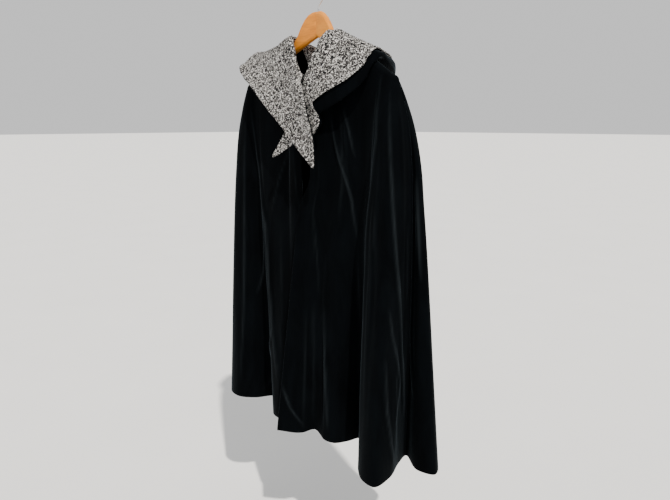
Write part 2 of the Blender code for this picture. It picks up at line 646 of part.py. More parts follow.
def build_hook(metal):
    """The wire hook that hangs on a rail: a short stem, a bend and most of a circle."""
    join = math.radians(-40)
    centre = np.array([0.0, HOOK_CENTRE_Z])
    meet = centre + HOOK_RADIUS * np.array([math.cos(join), math.sin(join)])
    away = np.array([-math.sin(join), math.cos(join)])
    foot = np.array([0.0, HUMP_Z + SEAM_GAP])
    handles = (foot, foot + np.array([0.0, 0.014]), meet - away * 0.012, meet)
    path = []
    for t in np.linspace(0, 1, 9):
        weights = ((1 - t) ** 3, 3 * t * (1 - t) ** 2, 3 * t * t * (1 - t), t ** 3)
        path.append(sum(w * h for w, h in zip(weights, handles)))
    for degrees in np.arange(-28, 201, 12):
        angle = math.radians(degrees)
        path.append(centre + HOOK_RADIUS * np.array([math.cos(angle), math.sin(angle)]))
    curve = bpy.data.curves.new("hanger_hook", "CURVE")
    curve.dimensions = "3D"
    curve.bevel_depth = WIRE_RADIUS
    curve.bevel_resolution = 2
    curve.use_fill_caps = True
    line = curve.splines.new("POLY")
    line.points.add(len(path) - 1)
    for point, (x, z) in zip(line.points, path):
        point.co = (x, 0.0, z, 1.0)
    curve.materials.append(metal)
    obj = bpy.data.objects.new("hanger_hook", curve)
    bpy.context.collection.objects.link(obj)
    return obj


def main():
    clear_scene()
    velvet = material("velvet", (0.006, 0.008, 0.011), 0.75)
    tweed = material("tweed", (0.26, 0.25, 0.24), 0.9)
    wood = material("wood", (0.56, 0.27, 0.09), 0.4)
    metal = material("hook_metal", (0.6, 0.6, 0.6), 0.3, 1.0)
    cape_grids = build_cape(velvet)
    build_hood(velvet, tweed, cape_grids)
    build_arm("hanger_arm_left", 1, wood)
    build_arm("hanger_arm_right", -1, wood)
    build_hook(metal)


main()
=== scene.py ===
"""Hooded velvet cape with a tweed-lined hood, on a wooden hanger.

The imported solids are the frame. Every cloth piece repeats its solid's surface at a finer
step, with the creases that hand-made cloth has, and replaces that solid. The hanger's
solids stay and get their wood and metal. Lengths are in metres, +Z is up, the front faces
-Y and the wearer's left is +X. The origin is the inner top of the hook.
"""

import math
import random

import bmesh
import bpy
import numpy as np
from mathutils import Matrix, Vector
from mathutils.bvhtree import BVHTree


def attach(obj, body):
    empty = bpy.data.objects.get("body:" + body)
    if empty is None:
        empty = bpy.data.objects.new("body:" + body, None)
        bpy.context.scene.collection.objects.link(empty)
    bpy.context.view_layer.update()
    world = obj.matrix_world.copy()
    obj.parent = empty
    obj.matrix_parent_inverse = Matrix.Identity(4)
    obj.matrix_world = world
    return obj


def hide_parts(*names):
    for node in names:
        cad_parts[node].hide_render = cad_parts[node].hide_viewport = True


bl_info = {
    "name": "Hooded Cape",
    "version": (1, 0, 0),
    "blender": (4, 5, 0),
    "location": "View3D > Sidebar > Hooded Cape",
    "description": "Makes a hooded velvet cape on a wooden hanger round its packed solids",
    "category": "Object",
}

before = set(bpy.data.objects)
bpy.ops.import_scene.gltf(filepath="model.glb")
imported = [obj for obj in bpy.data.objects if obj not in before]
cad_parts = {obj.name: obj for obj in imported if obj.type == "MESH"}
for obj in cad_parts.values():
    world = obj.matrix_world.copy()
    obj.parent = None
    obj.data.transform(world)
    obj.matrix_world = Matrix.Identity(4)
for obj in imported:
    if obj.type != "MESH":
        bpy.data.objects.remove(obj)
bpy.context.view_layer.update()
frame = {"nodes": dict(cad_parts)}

# Sizes of the cloth
CLOTH = 0.0024  # thickness of one cloth wall
TWEED = 0.0028  # thickness of the hood's lining
SEAM_GAP = 0.0003  # space between pieces that meet
LAYER_GAP = 0.0008  # between the two layers of the hood
NECK_HALF_WIDTH = 0.068  # from the middle to where the neckline crosses the arm
NECK_FRONT = 0.042  # how far the neckline stands in front of the arms
NECK_BACK = 0.040  # and behind them
NECK_FRONT_DROP = 0.090  # how far it dips at the front below the shoulder
NECK_BACK_DROP = 0.030
NECK_ROLL = 0.0035  # radius at which the cape's neck edge turns in
NECK_CLEAR = 0.0030  # the neckline starts to sink this far past the arm
NECK_SINK_POWER = 1.3  # above 1, it sinks slowly at first
SHOULDER_BOW_LENGTH = 0.100  # height over which the cloth bows out below a shoulder
FALL_POWER = 1.05  # above 1, a fold opens faster near the hem

# Sizes of the hanger
ARM_HALF_THICKNESS = 0.0070
ARM_SWEEP = 0.0125  # how far forward the arms swing in all
ARM_SWEEP_REACH = 0.050  # distance out over which they do most of it
ARM_SIDE_GAP = 0.0012  # between the arm's faces and the cloth
ARM_TOP_GAP = 0.0006  # between the arm's top and the cloth that rests on it

# Outline of one arm: distance from the middle, top edge, lower edge
ARM_OUTLINE = (
    (0.0000, -0.061, -0.113),
    (0.012, -0.0618, -0.1188),
    (0.028, -0.0715, -0.1267),
    (0.042, -0.0895, -0.1337),
    (0.052, -0.107, -0.1387),
    (0.062, -0.119, -0.1437),
    (0.08, -0.128, -0.153),
    (0.12, -0.146, -0.1745),
    (0.16, -0.169, -0.1985),
    (0.2, -0.195, -0.2215),
    (0.22, -0.209, -0.231),
)

# Folds of the cape, from the left front edge round the back to the right front edge:
# name, x of the top end, way the cloth leaves the arm (degrees from the front, through
# the left side), bow below the shoulder, hem x, hem y, hem z. Only the lines that fan
# from the end of an arm turn away from straight front or straight back.
FALL_LINES = (
    ("left_front_edge", 0.02, 0, 0, -0.022, -0.12, -0.983),
    ("left_front_flat", 0.034, 0, 0.004, 0.026, -0.084, -0.985),
    ("left_front_dip", 0.05, 0, 0.006, 0.048, -0.066, -0.976),
    ("left_centre_rise", 0.0625, 0, 0.008, 0.07, -0.069, -0.982),
    ("left_centre_ridge", 0.068, 0, 0.009, 0.08, -0.072, -0.985),
    ("left_centre_slope", 0.086, 0, 0.01, 0.104, -0.066, -0.988),
    ("left_valley_mouth", 0.112, 0, 0.011, 0.123, -0.038, -0.988),
    ("left_valley", 0.146, 0, 0.012, 0.132, -0.006, -0.99),
    ("left_valley_wall", 0.174, 0, 0.018, 0.16, -0.03, -0.996),
    ("left_lobe_start", 0.194, 0, 0.026, 0.198, -0.088, -1.003),
    ("left_lobe_turn", 0.206, 6, 0.034, 0.23, -0.111, -1.004),
    ("left_lobe_ridge", 0.212, 32, 0.04, 0.262, -0.113, -1.004),
    ("left_lobe_side", 0.214, 60, 0.044, 0.266, -0.068, -1.003),
    ("left_lobe_end", 0.2148, 80, 0.046, 0.247, -0.01, -1.001),
    ("left_side_seam", 0.2154, 92, 0.046, 0.241, 0.02, -1.000),
    ("left_rear_lobe_start", 0.2148, 103, 0.046, 0.292, -0.006, -1.002),
    ("left_rear_lobe_ridge", 0.214, 120, 0.044, 0.326, 0.006, -1.003),
    ("left_rear_lobe_end", 0.212, 148, 0.038, 0.305, 0.048, -1.003),
    ("left_back_valley", 0.205, 174, 0.03, 0.252, 0.058, -1.000),
    ("left_back_wall", 0.19, 180, 0.024, 0.216, 0.064, -0.998),
    ("left_back_ridge", 0.162, 180, 0.018, 0.195, 0.112, -0.998),
    ("left_back_slope", 0.138, 180, 0.016, 0.16, 0.122, -0.996),
    ("back_valley_a", 0.112, 180, 0.014, 0.128, 0.08, -0.995),
    ("back_ridge_a", 0.09, 180, 0.012, 0.09, 0.112, -0.995),
    ("back_slope_a", 0.068, 180, 0.012, 0.054, 0.128, -0.994),
    ("back_neck_a", 0.0625, 180, 0.012, 0.04, 0.114, -0.994),
    ("back_valley_b", 0.042, 180, 0.012, 0.02, 0.088, -0.993),
    ("back_floor_b", 0.014, 180, 0.012, -0.014, 0.086, -0.993),
    ("back_ridge_c", -0.016, 180, 0.012, -0.05, 0.126, -0.994),
    ("back_slope_c", -0.044, 180, 0.012, -0.084, 0.122, -0.995),
    ("back_neck_d", -0.0625, 180, 0.012, -0.104, 0.094, -0.995),
    ("back_valley_d", -0.068, 180, 0.012, -0.116, 0.078, -0.995),
    ("back_ridge_e", -0.112, 180, 0.014, -0.158, 0.112, -0.996),
    ("right_back_slope", -0.146, 180, 0.016, -0.194, 0.114, -0.996),
    ("right_back_valley", -0.176, 180, 0.021, -0.226, 0.062, -0.996),
    ("right_rear_lobe_start", -0.203, 186, 0.027, -0.272, 0.07, -0.996),
    ("right_rear_lobe_ridge", -0.2125, 222, 0.03, -0.31, 0.044, -0.994),
    ("right_side_seam", -0.2154, 266, 0.03, -0.276, 0.008, -0.99),
    ("right_outline_start", -0.2145, 290, 0.03, -0.298, -0.026, -0.987),
    ("right_outline_ridge", -0.2125, 322, 0.029, -0.274, -0.06, -0.985),
    ("right_front_ridge", -0.205, 354, 0.027, -0.232, -0.068, -0.985),
    ("right_front_slope", -0.196, 360, 0.024, -0.194, -0.044, -0.985),
    ("right_front_valley", -0.186, 360, 0.02, -0.166, -0.004, -0.985),
    ("right_valley_wall", -0.172, 360, 0.017, -0.124, -0.036, -0.984),
    ("right_inner_ridge", -0.148, 360, 0.014, -0.084, -0.076, -0.982),
    ("right_inner_slope", -0.1, 360, 0.01, -0.046, -0.082, -0.98),
    ("right_front_flat", -0.068, 360, 0.008, -0.02, -0.078, -0.979),
    ("right_front_lean", -0.0625, 360, 0.007, -0.01, -0.074, -0.978),
    ("right_front_fold", -0.044, 360, 0.005, 0.004, -0.067, -0.977),
    ("right_front_edge", -0.014, 360, 0.002, 0.028, -0.052, -0.975),
)

# How far the left front edge is drawn aside below the crossed ends: z, distance
EDGE_PULL = (
    (-0.2, 0.000),
    (-0.27, 0.006),
    (-0.34, 0.019),
    (-0.4, 0.027),
    (-0.425, 0.022),
    (-0.445, 0.01),
    (-0.47, 0.002),
    (-0.5, 0.000),
    (-1.1, 0.000),
)
EDGE_PULL_REACH = 0.085  # width of cloth that follows the drawn edge
SEAM_REACH = 0.004  # cloth looked at past a seam, so that both sides lean alike

# Sections of the hood from the right end to the left end: name, the inner edge or neck
# fold (x, y, z), the rim (x, y, z), crown of the cloth between them (below 0 it hangs as
# the pouch), 1 where it is sewn to the neckline and 0 where it hangs free, how far the
# outside rolls out past the rim and down, and its puff below
HOOD_SECTIONS = (
    ("right_tip", 0.077, -0.095, -0.3765, 0.0735, -0.095, -0.379, 0, 0, 0, 0, 0),
    ("right_point", 0.077, -0.096, -0.344, 0.036, -0.093, -0.349, 0.003, 0, 0, 0, 0),
    ("right_cross", 0.07, -0.096, -0.307, -0.018, -0.089, -0.303, 0.005, 0, 0, 0, 0),
    ("right_lapel", 0.051, -0.092, -0.263, -0.083, -0.082, -0.255, 0.006, 0, 0, 0.002, 0.002),
    ("right_breast", 0.034, -0.082, -0.222, -0.124, -0.076, -0.224, 0.007, 0.1, 0, 0.006, 0.003),
    ("right_throat", 0.018, -0.064, -0.184, -0.163, -0.067, -0.196, 0.008, 0.5, 0.001, 0.01, 0.003),
    ("right_collar", -0.01, -0.048, -0.154, -0.2, -0.055, -0.176, 0.006, 0.9, 0.002, 0.012, 0.003),
    ("right_neck", -0.042, -0.03, -0.122, -0.222, -0.036, -0.158, 0.006, 1, 0.002, 0.014, 0.002),
    ("right_neck_top", -0.0545, -0.0215, -0.109, -0.229, -0.02, -0.1525, 0.005, 1, 0.002, 0.015, 0.002),
    ("right_shoulder", -0.061, -0.011, -0.1065, -0.235, -0.006, -0.144, 0.002, 1, 0.003, 0.016, 0.002),
    ("right_curl", -0.0615, 0.002, -0.109, -0.234, 0.02, -0.125, -0.014, 1, 0.004, 0.018, 0.003),
    ("right_hollow", -0.06, 0.014, -0.114, -0.222, 0.046, -0.121, -0.03, 1, 0.006, 0.02, 0.004),
    ("right_pouch", -0.038, 0.032, -0.13, -0.15, 0.105, -0.13, -0.07, 1, 0.01, 0.03, 0.006),
    ("back_pouch", 0, 0.039, -0.138, 0, 0.138, -0.15, -0.1, 1, 0.012, 0.034, 0.008),
    ("left_pouch", 0.038, 0.032, -0.13, 0.112, 0.101, -0.158, -0.07, 1, 0.01, 0.033, 0.006),
    ("left_hollow", 0.06, 0.012, -0.114, 0.16, 0.033, -0.153, -0.014, 1, 0.013, 0.026, 0.003),
    ("left_shoulder", 0.0595, -0.011, -0.106, 0.165, -0.01, -0.149, 0.003, 1, 0.018, 0.025, 0.001),
    ("left_neck_top", 0.054, -0.024, -0.1115, 0.1645, -0.026, -0.163, 0.005, 1, 0.011, 0.031, 0.002),
    ("left_neck", 0.041, -0.035, -0.128, 0.163, -0.042, -0.179, 0.006, 1, 0.007, 0.035, 0.003),
    ("left_collar", 0.028, -0.056, -0.159, 0.13, -0.06, -0.208, 0.006, 0.9, 0.005, 0.037, 0.005),
    ("left_throat", 0.021, -0.066, -0.191, 0.088, -0.072, -0.229, 0.005, 0.4, 0.004, 0.038, 0.007),
    ("left_breast", 0.017, -0.071, -0.226, 0.056, -0.078, -0.252, 0.003, 0.1, 0.006, 0.026, 0.005),
    ("left_turn", -0.004, -0.078, -0.264, 0.078, -0.08, -0.284, 0.003, 0, 0.003, 0.008, 0.001),
    ("left_loop", -0.014, -0.08, -0.294, 0.064, -0.081, -0.311, 0.003, 0, 0, 0.002, 0),
    ("left_point", -0.024, -0.083, -0.316, 0.004, -0.083, -0.334, 0.002, 0, 0, 0, 0),
    ("left_tip", -0.0575, -0.086, -0.3605, -0.0545, -0.086, -0.3635, 0, 0, 0, 0, 0),
)
FOLD_WIDTH = 0.006  # half the width of the roll at the neck fold
FOLD_LEAN = 0.0030  # how far its inner side bulges into the neck
STAND_START = 0.012  # the tweed reaches down inside the neck from here back
STAND_DEPTH = 0.072  # and as far as this
STAND_LEAN = 0.37  # leaning in by this share of it
# Share of the roll, outward and down, that each row of the outside takes
ROLL_SHARES = (
    (0, 0), (0, 0), (0, 0), (0, 0), (0, 0.05), (0.05, 0.15), (0.15, 0.32),
    (0.35, 0.58), (0.70, 0.90), (1.00, 0.80), (0.85, 0.30), (0, 0),
)
ROLL_ROWS = len(ROLL_SHARES)
ROLL_BACK = (0.3, 0.15, 0.0)  # how far its last rows lie back from the rim, in rows

# Fineness of the surface that the solids share, on which the hood is laid
COLUMNS_PER_FALL = 3
COLUMNS_PER_SECTION = 3
FALL_ROWS = (0.0, 0.04, 0.10, 0.17, 0.25, 0.34, 0.44, 0.55, 0.66, 0.77, 0.88, 1.0)
ARC_ROWS = (0.0, 20.0, 45.0, 70.0, 90.0)  # degrees round the top of the arm
HOOD_ROWS = 10
HOOD_ROOM = 0.0030  # space under the hood's cloth where it lies on the cape
HIDDEN_ROWS = 3  # rows of the lining at the neck that have no velvet under them
LAP_GAP = 0.0006  # least space where the hood's cloth laps the cape
BESIDE_LIMIT = 0.0005  # a point farther than this beside an edge, with a share of
BESIDE_SHARE = 0.5  # its distance from it, is clear of it
CLEARING_ROUNDS = 4
SPREAD_ROUNDS = 3  # how far a move that clears one place is shared around it
NECK_ROWS = 2  # rows of the lining inside the neck, which may touch the cape
# Places looked at in each cell of a wall: share along the rows, share along the columns
CELL_SAMPLES = tuple((u / 2, v / 2) for u in range(3) for v in range(3))

# Fineness of the shown cloth
CAPE_STEP = 0.0055  # between columns, measured along the hem
CAPE_FALL_ROWS = tuple(np.linspace(0.0, 1.0, 119))
CAPE_ARC_ROWS = tuple(np.linspace(0.0, 90.0, 10))
HOOD_ROW_STEPS = 5  # shown rows to each row of the solid
HOOD_COLUMN_STEPS = 4
RIM_ANGLES = (50.0, 0.0, -50.0)  # degrees round the edge of a cloth, from its outside
SEAM_LAP = 0.0003  # each shown panel passes its seam by this much

# Panels of the cape: name, first and last fall line, 1 at the back, flat width, length
# and area of the cut
CAPE_PANELS = (
    ("front_left", "left_front_edge", "left_side_seam", 0, 0.53, 0.90, 0.32),
    ("back", "left_side_seam", "right_side_seam", 1, 0.99, 0.90, 0.62),
    ("front_right", "right_side_seam", "right_front_edge", 0, 0.45, 0.89, 0.285),
)

# Loops of the tweed's yarn, and a painted highlight along the ridges of the velvet's creases
RIDGE_HIGHLIGHT_WIDTH = 0.0021  # half the width of the painted highlight on a crease's ridge
RIDGE_HIGHLIGHT_HEIGHT = 0.0045  # of a crease whose ridge gets the full painted highlight
RIDGE_HIGHLIGHT_ATTRIBUTE = "painted_ridge_highlight"
LOOP_RADIUS = 0.0012  # of a loop of the tweed's yarn
LOOP_POINTS = 4
LOOP_DENSITY = 120000.0  # points tried to a square metre
LOOP_START_DEGREES = -35.0
LOOP_SWEEP_DEGREES = 250.0
LOOP_TILT_DEGREES = 62.0  # from the cloth
LOOP_LEAN = 0.5  # greatest chance lean either way, in radians
LOOP_SIZES = (0.7, 1.2)
YARN_RADIUS = 0.00045
YARN_SIDES = 3

# Creases of the velvet, laid over the folds: name, half width, height, and its line as
# falls and z, from the top down. A fall is counted along FALL_LINES from the first.
CREASES = (
    ("near_drag_a", 0.0064, 0.0047,
     ((3.6, -0.27), (4.3, -0.325), (5.2, -0.375), (6.3, -0.446), (6.8, -0.53))),
    ("near_drag_b", 0.0051, 0.0034, ((5.5, -0.262), (6.0, -0.305), (6.4, -0.36))),
    ("near_drag_c", 0.0059, -0.0029, ((4.3, -0.262), (5.0, -0.32), (5.8, -0.395), (6.2, -0.46))),
    ("near_low_ridge", 0.0076, 0.0052, ((3.6, -0.68), (3.8, -0.76), (4.2, -0.846), (4.5, -0.96))),
    ("near_low_trough", 0.0085, -0.0039, ((2.6, -0.7), (2.8, -0.8), (3.1, -0.9), (3.2, -0.97))),
    ("near_diagonal", 0.0055, 0.0039, ((0.0, -0.87), (0.5, -0.93), (1.1, -0.975))),
    ("near_slack", 0.0093, 0.0016, ((1.5, -0.48), (1.9, -0.56), (2.4, -0.66))),
    ("lobe_left_ridge", 0.0068, 0.0044,
     ((8.9, -0.2), (9.6, -0.32), (9.0, -0.47), (9.2, -0.7), (9.2, -0.85), (9.3, -0.99))),
    ("lobe_hollow", 0.0093, -0.0036, ((10.1, -0.24), (10.4, -0.42), (10.3, -0.64), (10.6, -0.86))),
    ("lobe_right_ridge", 0.0051, 0.0044,
     ((10.8, -0.228), (11.3, -0.4), (11.9, -0.56), (12.7, -0.74), (13.4, -0.9))),
    ("lobe_inner_a", 0.0047, 0.0034, ((11.5, -0.64), (11.8, -0.7), (12.6, -0.8))),
    ("lobe_inner_b", 0.0047, 0.0039, ((11.4, -0.74), (11.6, -0.85), (12.0, -0.93), (12.3, -0.985))),
    ("rear_ridge_a", 0.0068, 0.0036, ((14.8, -0.39), (14.9, -0.45), (15.2, -0.6))),
    ("rear_ridge_b", 0.0055, 0.0031, ((14.1, -0.72), (14.4, -0.79), (14.7, -0.85))),
    ("far_ridge", 0.0068, 0.0047,
     ((41.2, -0.25), (43.0, -0.4), (44.0, -0.529), (44.1, -0.66), (44.3, -0.778), (44.8, -0.89))),
    ("far_outline", 0.0059, 0.0031, ((40.3, -0.27), (40.5, -0.473), (40.4, -0.724), (40.1, -0.95))),
    ("far_slant", 0.0059, 0.0036, ((43.0, -0.54), (42.3, -0.62), (41.3, -0.71))),
    ("far_low", 0.0059, 0.0039, ((44.3, -0.77), (43.0, -0.87), (41.4, -0.968))),
    ("far_drag", 0.0055, 0.0018, ((46.2, -0.33), (45.0, -0.42), (44.4, -0.5))),
    ("back_drag_left", 0.0068, 0.0042, ((24.5, -0.24), (22.6, -0.34), (21.5, -0.47), (21.2, -0.6))),
    ("back_drag_right", 0.0068, 0.0042, ((30.4, -0.23), (32.2, -0.36), (33.0, -0.52))),
    ("back_middle", 0.0072, -0.0034, ((27.0, -0.3), (26.6, -0.48), (27.2, -0.68), (26.9, -0.9))),
    ("back_low_ridge", 0.0076, 0.0047, ((28.6, -0.64), (28.2, -0.78), (28.7, -0.96))),
    ("back_low_slant", 0.0064, 0.0039, ((23.6, -0.7), (24.4, -0.82), (25.3, -0.94))),
    ("back_side_slant", 0.0059, 0.0036, ((18.4, -0.38), (19.3, -0.5), (19.6, -0.64))),
    ("right_side_ridge", 0.0059, 0.0039, ((36.4, -0.26), (36.2, -0.44), (36.6, -0.65), (36.3, -0.86))),
)
CREASE_DISH = 0.35  # how much the cloth dips beside a crease's ridge
CREASE_END_POWER = 0.7  # below 1, a crease keeps its height nearly to its ends

# Small drag lines at chance places, with the least and greatest of each measure
CHANCE_SEED = 11
CHANCE_COUNT = 150
CHANCE_TOP = (-0.80, -0.22)  # z of the upper end
CHANCE_LENGTH = (0.10, 0.34)
CHANCE_LEAN = (-0.6, 0.6)  # falls from the upper end to the lower
CHANCE_HALF_WIDTH = (0.004, 0.010)
CHANCE_HEIGHT = (0.0006, 0.0016)
CHANCE_SIGNS = (1, -0.7)  # ridge or trough
CHANCE_LOWEST = -0.985  # z below which no line goes

TWEED_YARNS = (  # place on a scale of chance from 0 to 1, colour
    (0.00, (0.009, 0.009, 0.010)),
    (0.38, (0.038, 0.036, 0.036)),
    (0.55, (0.150, 0.144, 0.140)),
    (0.69, (0.350, 0.340, 0.328)),
    (0.81, (0.740, 0.725, 0.700)),
)
ARM_GRAIN_DEGREES = -34.0  # slope of the grain along the left arm

# Stage
CAMERA_PLACE = (0.9475, -0.9475, -0.292)
CAMERA_TURN = 43.5  # degrees round from the front
CAMERA_PITCH = 78.1  # degrees up from straight down
CAMERA_LENS = 32.24  # millimetres, for a picture this wide
SENSOR_WIDTH = 36.0
SUN_STRENGTH = 4.6
SUN_WAY = (0.50, -0.28, 0.82)
SUN_COLOUR = (1.0, 0.95, 0.88)
SUN_DEGREES = 1.5  # its width in the sky
ROOM_STRENGTH = 0.8
FLOOR_Z = -1.30
FLOOR_HALF = 60.0


def spline(knots, values, at):
    """Smooth curve through values at increasing knots, read at the places in at."""
    knots = np.asarray(knots, float)
    values = np.asarray(values, float)
    at = np.asarray(at, float)
    flat = values.reshape(len(knots), -1)
    steps = np.diff(knots)
    rises = np.diff(flat, axis=0) / steps[:, None]
    slopes = np.empty_like(flat)
    slopes[0] = rises[0]
    slopes[-1] = rises[-1]
    before = steps[:-1, None]
    after = steps[1:, None]
    slopes[1:-1] = (rises[:-1] * after + rises[1:] * before) / (before + after)
    left = np.clip(np.searchsorted(knots, at, side="right") - 1, 0, len(knots) - 2)
    width = steps[left][:, None]
    t = ((at - knots[left]) / steps[left])[:, None]
    result = (
        flat[left] * (1 + 2 * t) * (1 - t) ** 2
        + slopes[left] * width * t * (1 - t) ** 2
        + flat[left + 1] * t ** 2 * (3 - 2 * t)
        + slopes[left + 1] * width * t ** 2 * (t - 1)
    )
    return result.reshape((len(at),) + values.shape[1:])


def between(knots, steps):
    """The knots with evenly spaced places put in between them."""
    inner = [np.linspace(a, b, steps, endpoint=False) for a, b in zip(knots[:-1], knots[1:])]
    return np.concatenate(inner + [[knots[-1]]])


def table_columns(table):
    """The numbers of a table whose rows start with a name."""
    return np.array([row[1:] for row in table], float)


def row_number(table, name):
    """The place of the named row."""
    return [row[0] for row in table].index(name)


def arm_y(x):
    """Middle plane of the hanger's arms, which swing forward."""
    return -ARM_SWEEP * (1 - np.exp(-np.abs(x) / ARM_SWEEP_REACH))


def arm_edges(x):
    """Top and lower edge of an arm at the distance x from the middle."""
    outline = np.array(ARM_OUTLINE)
    edges = spline(outline[:, 0], outline[:, 1:], np.abs(np.atleast_1d(x)))
    return edges[:, 0], edges[:, 1]


def arm_slope(x):
    """How steeply the top of an arm falls, at the distance x from the middle."""
    step = 0.002
    return (arm_edges(np.abs(x) + step)[0] - arm_edges(np.abs(x) - step)[0]) / (2 * step)


def neck_dip(x):
    """1 at the middle of the neckline and 0 from where it crosses the arm."""
    return np.sqrt(1 - np.clip(np.abs(x) / NECK_HALF_WIDTH, 0, 1) ** 2)


def cape_tops(x, is_back):
    """Where the cape's fall lines start, and the radius at which the cloth turns down."""
    stand, drop = (NECK_BACK, NECK_BACK_DROP) if is_back else (NECK_FRONT, NECK_FRONT_DROP)
    dip = neck_dip(x)
    arm_radius = ARM_HALF_THICKNESS + ARM_SIDE_GAP + CLOTH
    past_arm = (arm_radius + NECK_CLEAR) / stand
    sunk = (np.clip(dip - past_arm, 0, None) / (1 - past_arm)) ** NECK_SINK_POWER
    outer = np.maximum(np.abs(x), NECK_HALF_WIDTH * math.sqrt(1 - past_arm ** 2))
    lift = CLOTH * np.sqrt(1 + arm_slope(outer) ** 2) + ARM_TOP_GAP
    y = arm_y(x) + dip * (stand if is_back else -stand)
    z = arm_edges(outer)[0] + lift - drop * sunk
    radius = np.maximum(arm_radius - stand * dip, NECK_ROLL)
    return np.stack([x, y, z], axis=-1), radius


def fall_line_places():
    """Distance of each fall line along the hem, from the left front edge."""
    hem = table_columns(FALL_LINES)[:, 3:5]
    return np.concatenate([[0], np.cumsum(np.hypot(*np.diff(hem, axis=0).T))])


def cape_grid(places, is_back, arc_rows=ARC_ROWS, fall_rows=FALL_ROWS):
    """Outside points and normals of the cape, one column for each place on the hem."""
    values = spline(fall_line_places(), table_columns(FALL_LINES), places)
    top_x, turn, bow, hem = values[:, 0], np.radians(values[:, 1]), values[:, 2], values[:, 3:6]
    tops, radius = cape_tops(top_x, is_back)
    away = np.stack([np.sin(turn), -np.cos(turn)], axis=-1)
    rows = []
    leans = []
    on_arm = np.abs(top_x) > NECK_HALF_WIDTH
    ridge_lean = np.where(on_arm, -arm_slope(np.abs(top_x)) * np.sign(top_x), 0.0)
    for degrees in arc_rows:
        angle = math.radians(degrees)
        flat = tops[:, :2] + away * (radius * math.sin(angle))[:, None]
        height = tops[:, 2] - radius * (1 - math.cos(angle))
        rows.append(np.column_stack([flat, height]))
        lean = np.column_stack([away * math.sin(angle), np.full(len(top_x), math.cos(angle))])
        lean[:, 0] += ridge_lean * math.cos(angle)
        leans.append(lean / np.linalg.norm(lean, axis=1, keepdims=True))
    rows[0][:, 1] += SEAM_GAP / 2 if is_back else -SEAM_GAP / 2
    start = rows[-1]
    for part in fall_rows[1:]:
        height = start[:, 2] + (hem[:, 2] - start[:, 2]) * part
        fallen = start[:, 2] - height
        bowed = bow * (1 - np.exp(-fallen / SHOULDER_BOW_LENGTH))
        opened = part ** FALL_POWER
        flat = start[:, :2] + away * bowed[:, None]
        flat = flat + (hem[:, :2] - start[:, :2] - away * bow[:, None]) * opened
        rows.append(np.column_stack([flat, height]))
    grid = np.stack(rows)
    if places[0] < fall_line_places()[row_number(FALL_LINES, "left_lobe_start")]:
        grid[:, :, 0] += drawn_aside(grid)
    normals = grid_normals(grid)
    normals[:len(leans) - 1] = leans[:-1]
    normals[len(leans) - 1, on_arm] = leans[-1][on_arm]
    return grid, normals


def drawn_aside(grid):
    """How far each point of the left front follows its edge, which is drawn aside."""
    pull = np.array(EDGE_PULL)
    drawn = np.interp(-grid[:, :, 2], -pull[:, 0], pull[:, 1])
    beside = np.abs(grid[:, :, 0] - grid[:, :1, 0])
    return drawn * np.exp(-beside / EDGE_PULL_REACH)


def grid_normals(grid):
    """Unit normals of a grid, from its neighbours along the rows and columns."""
    down = np.gradient(grid, axis=0)
    across = np.gradient(grid, axis=1)
    normals = np.cross(down, across)
    return normals / np.maximum(np.linalg.norm(normals, axis=2, keepdims=True), 1e-12)


def pull_in(grid, amount):
    """Move the side edges of a grid inward, to leave room at a seam."""
    moved = grid.copy()
    for edge, inner in ((0, 1), (-1, -2)):
        step = grid[:, inner] - grid[:, edge]
        moved[:, edge] += step / np.linalg.norm(step, axis=1, keepdims=True) * amount
    return moved


def hood_table():
    """HOOD_SECTIONS with smooth sections put in between."""
    values = table_columns(HOOD_SECTIONS)
    middle = (values[:, 0:3] + values[:, 3:6]) / 2
    lengths = np.linalg.norm(np.diff(middle, axis=0), axis=1)
    knots = np.concatenate([[0], np.cumsum(lengths)])
    return spline(knots, values, between(knots, COLUMNS_PER_SECTION))


def section_curve(points, count):
    """Smooth curve through the points of a section, evenly divided."""
    lengths = np.linalg.norm(np.diff(points, axis=0), axis=1)
    knots = np.concatenate([[0], np.cumsum(np.maximum(lengths, 1e-6))])
    return spline(knots, points, np.linspace(0, knots[-1], count))


def hood_parts():
    """Neck fold, crown and rim of each section, with its outward way and its numbers."""
    values = hood_table()
    fold, rim, crown = values[:, 0:3], values[:, 3:6], values[:, 6]
    out = rim - fold
    out[:, 2] = 0
    out = out / np.linalg.norm(out, axis=1, keepdims=True)
    middle = (fold + rim) / 2
    up = np.cross(rim - fold, np.gradient(middle, axis=0))
    up = up / np.linalg.norm(up, axis=1, keepdims=True)
    middle = middle + up * np.clip(crown, 0, None)[:, None]
    middle[:, 2] += np.clip(crown, None, 0)
    return fold, middle, rim, out, values


def neck_seam(fold):
    """Point just inside the cape's neckline that faces a point of the neck fold."""
    is_back = fold[1] > arm_y(fold[0])
    stand = NECK_BACK if is_back else NECK_FRONT
    angle = math.atan2(fold[0] / NECK_HALF_WIDTH, abs(fold[1] - arm_y(fold[0])) / stand)
    x = NECK_HALF_WIDTH * math.sin(angle)
    seam = cape_tops(np.array([x]), is_back)[0][0]
    inward = -seam[:2] / np.linalg.norm(seam[:2])
    seam[:2] += inward * (TWEED + 2 * LAP_GAP)
    seam[2] += LAP_GAP
    return seam


def stand_depth(fold):
    """How far the tweed reaches down inside the neck, which it does behind the hanger."""
    past_arm = fold[1] - arm_y(fold[0]) - STAND_START
    return STAND_DEPTH * min(max(past_arm / STAND_START, 0), 1)


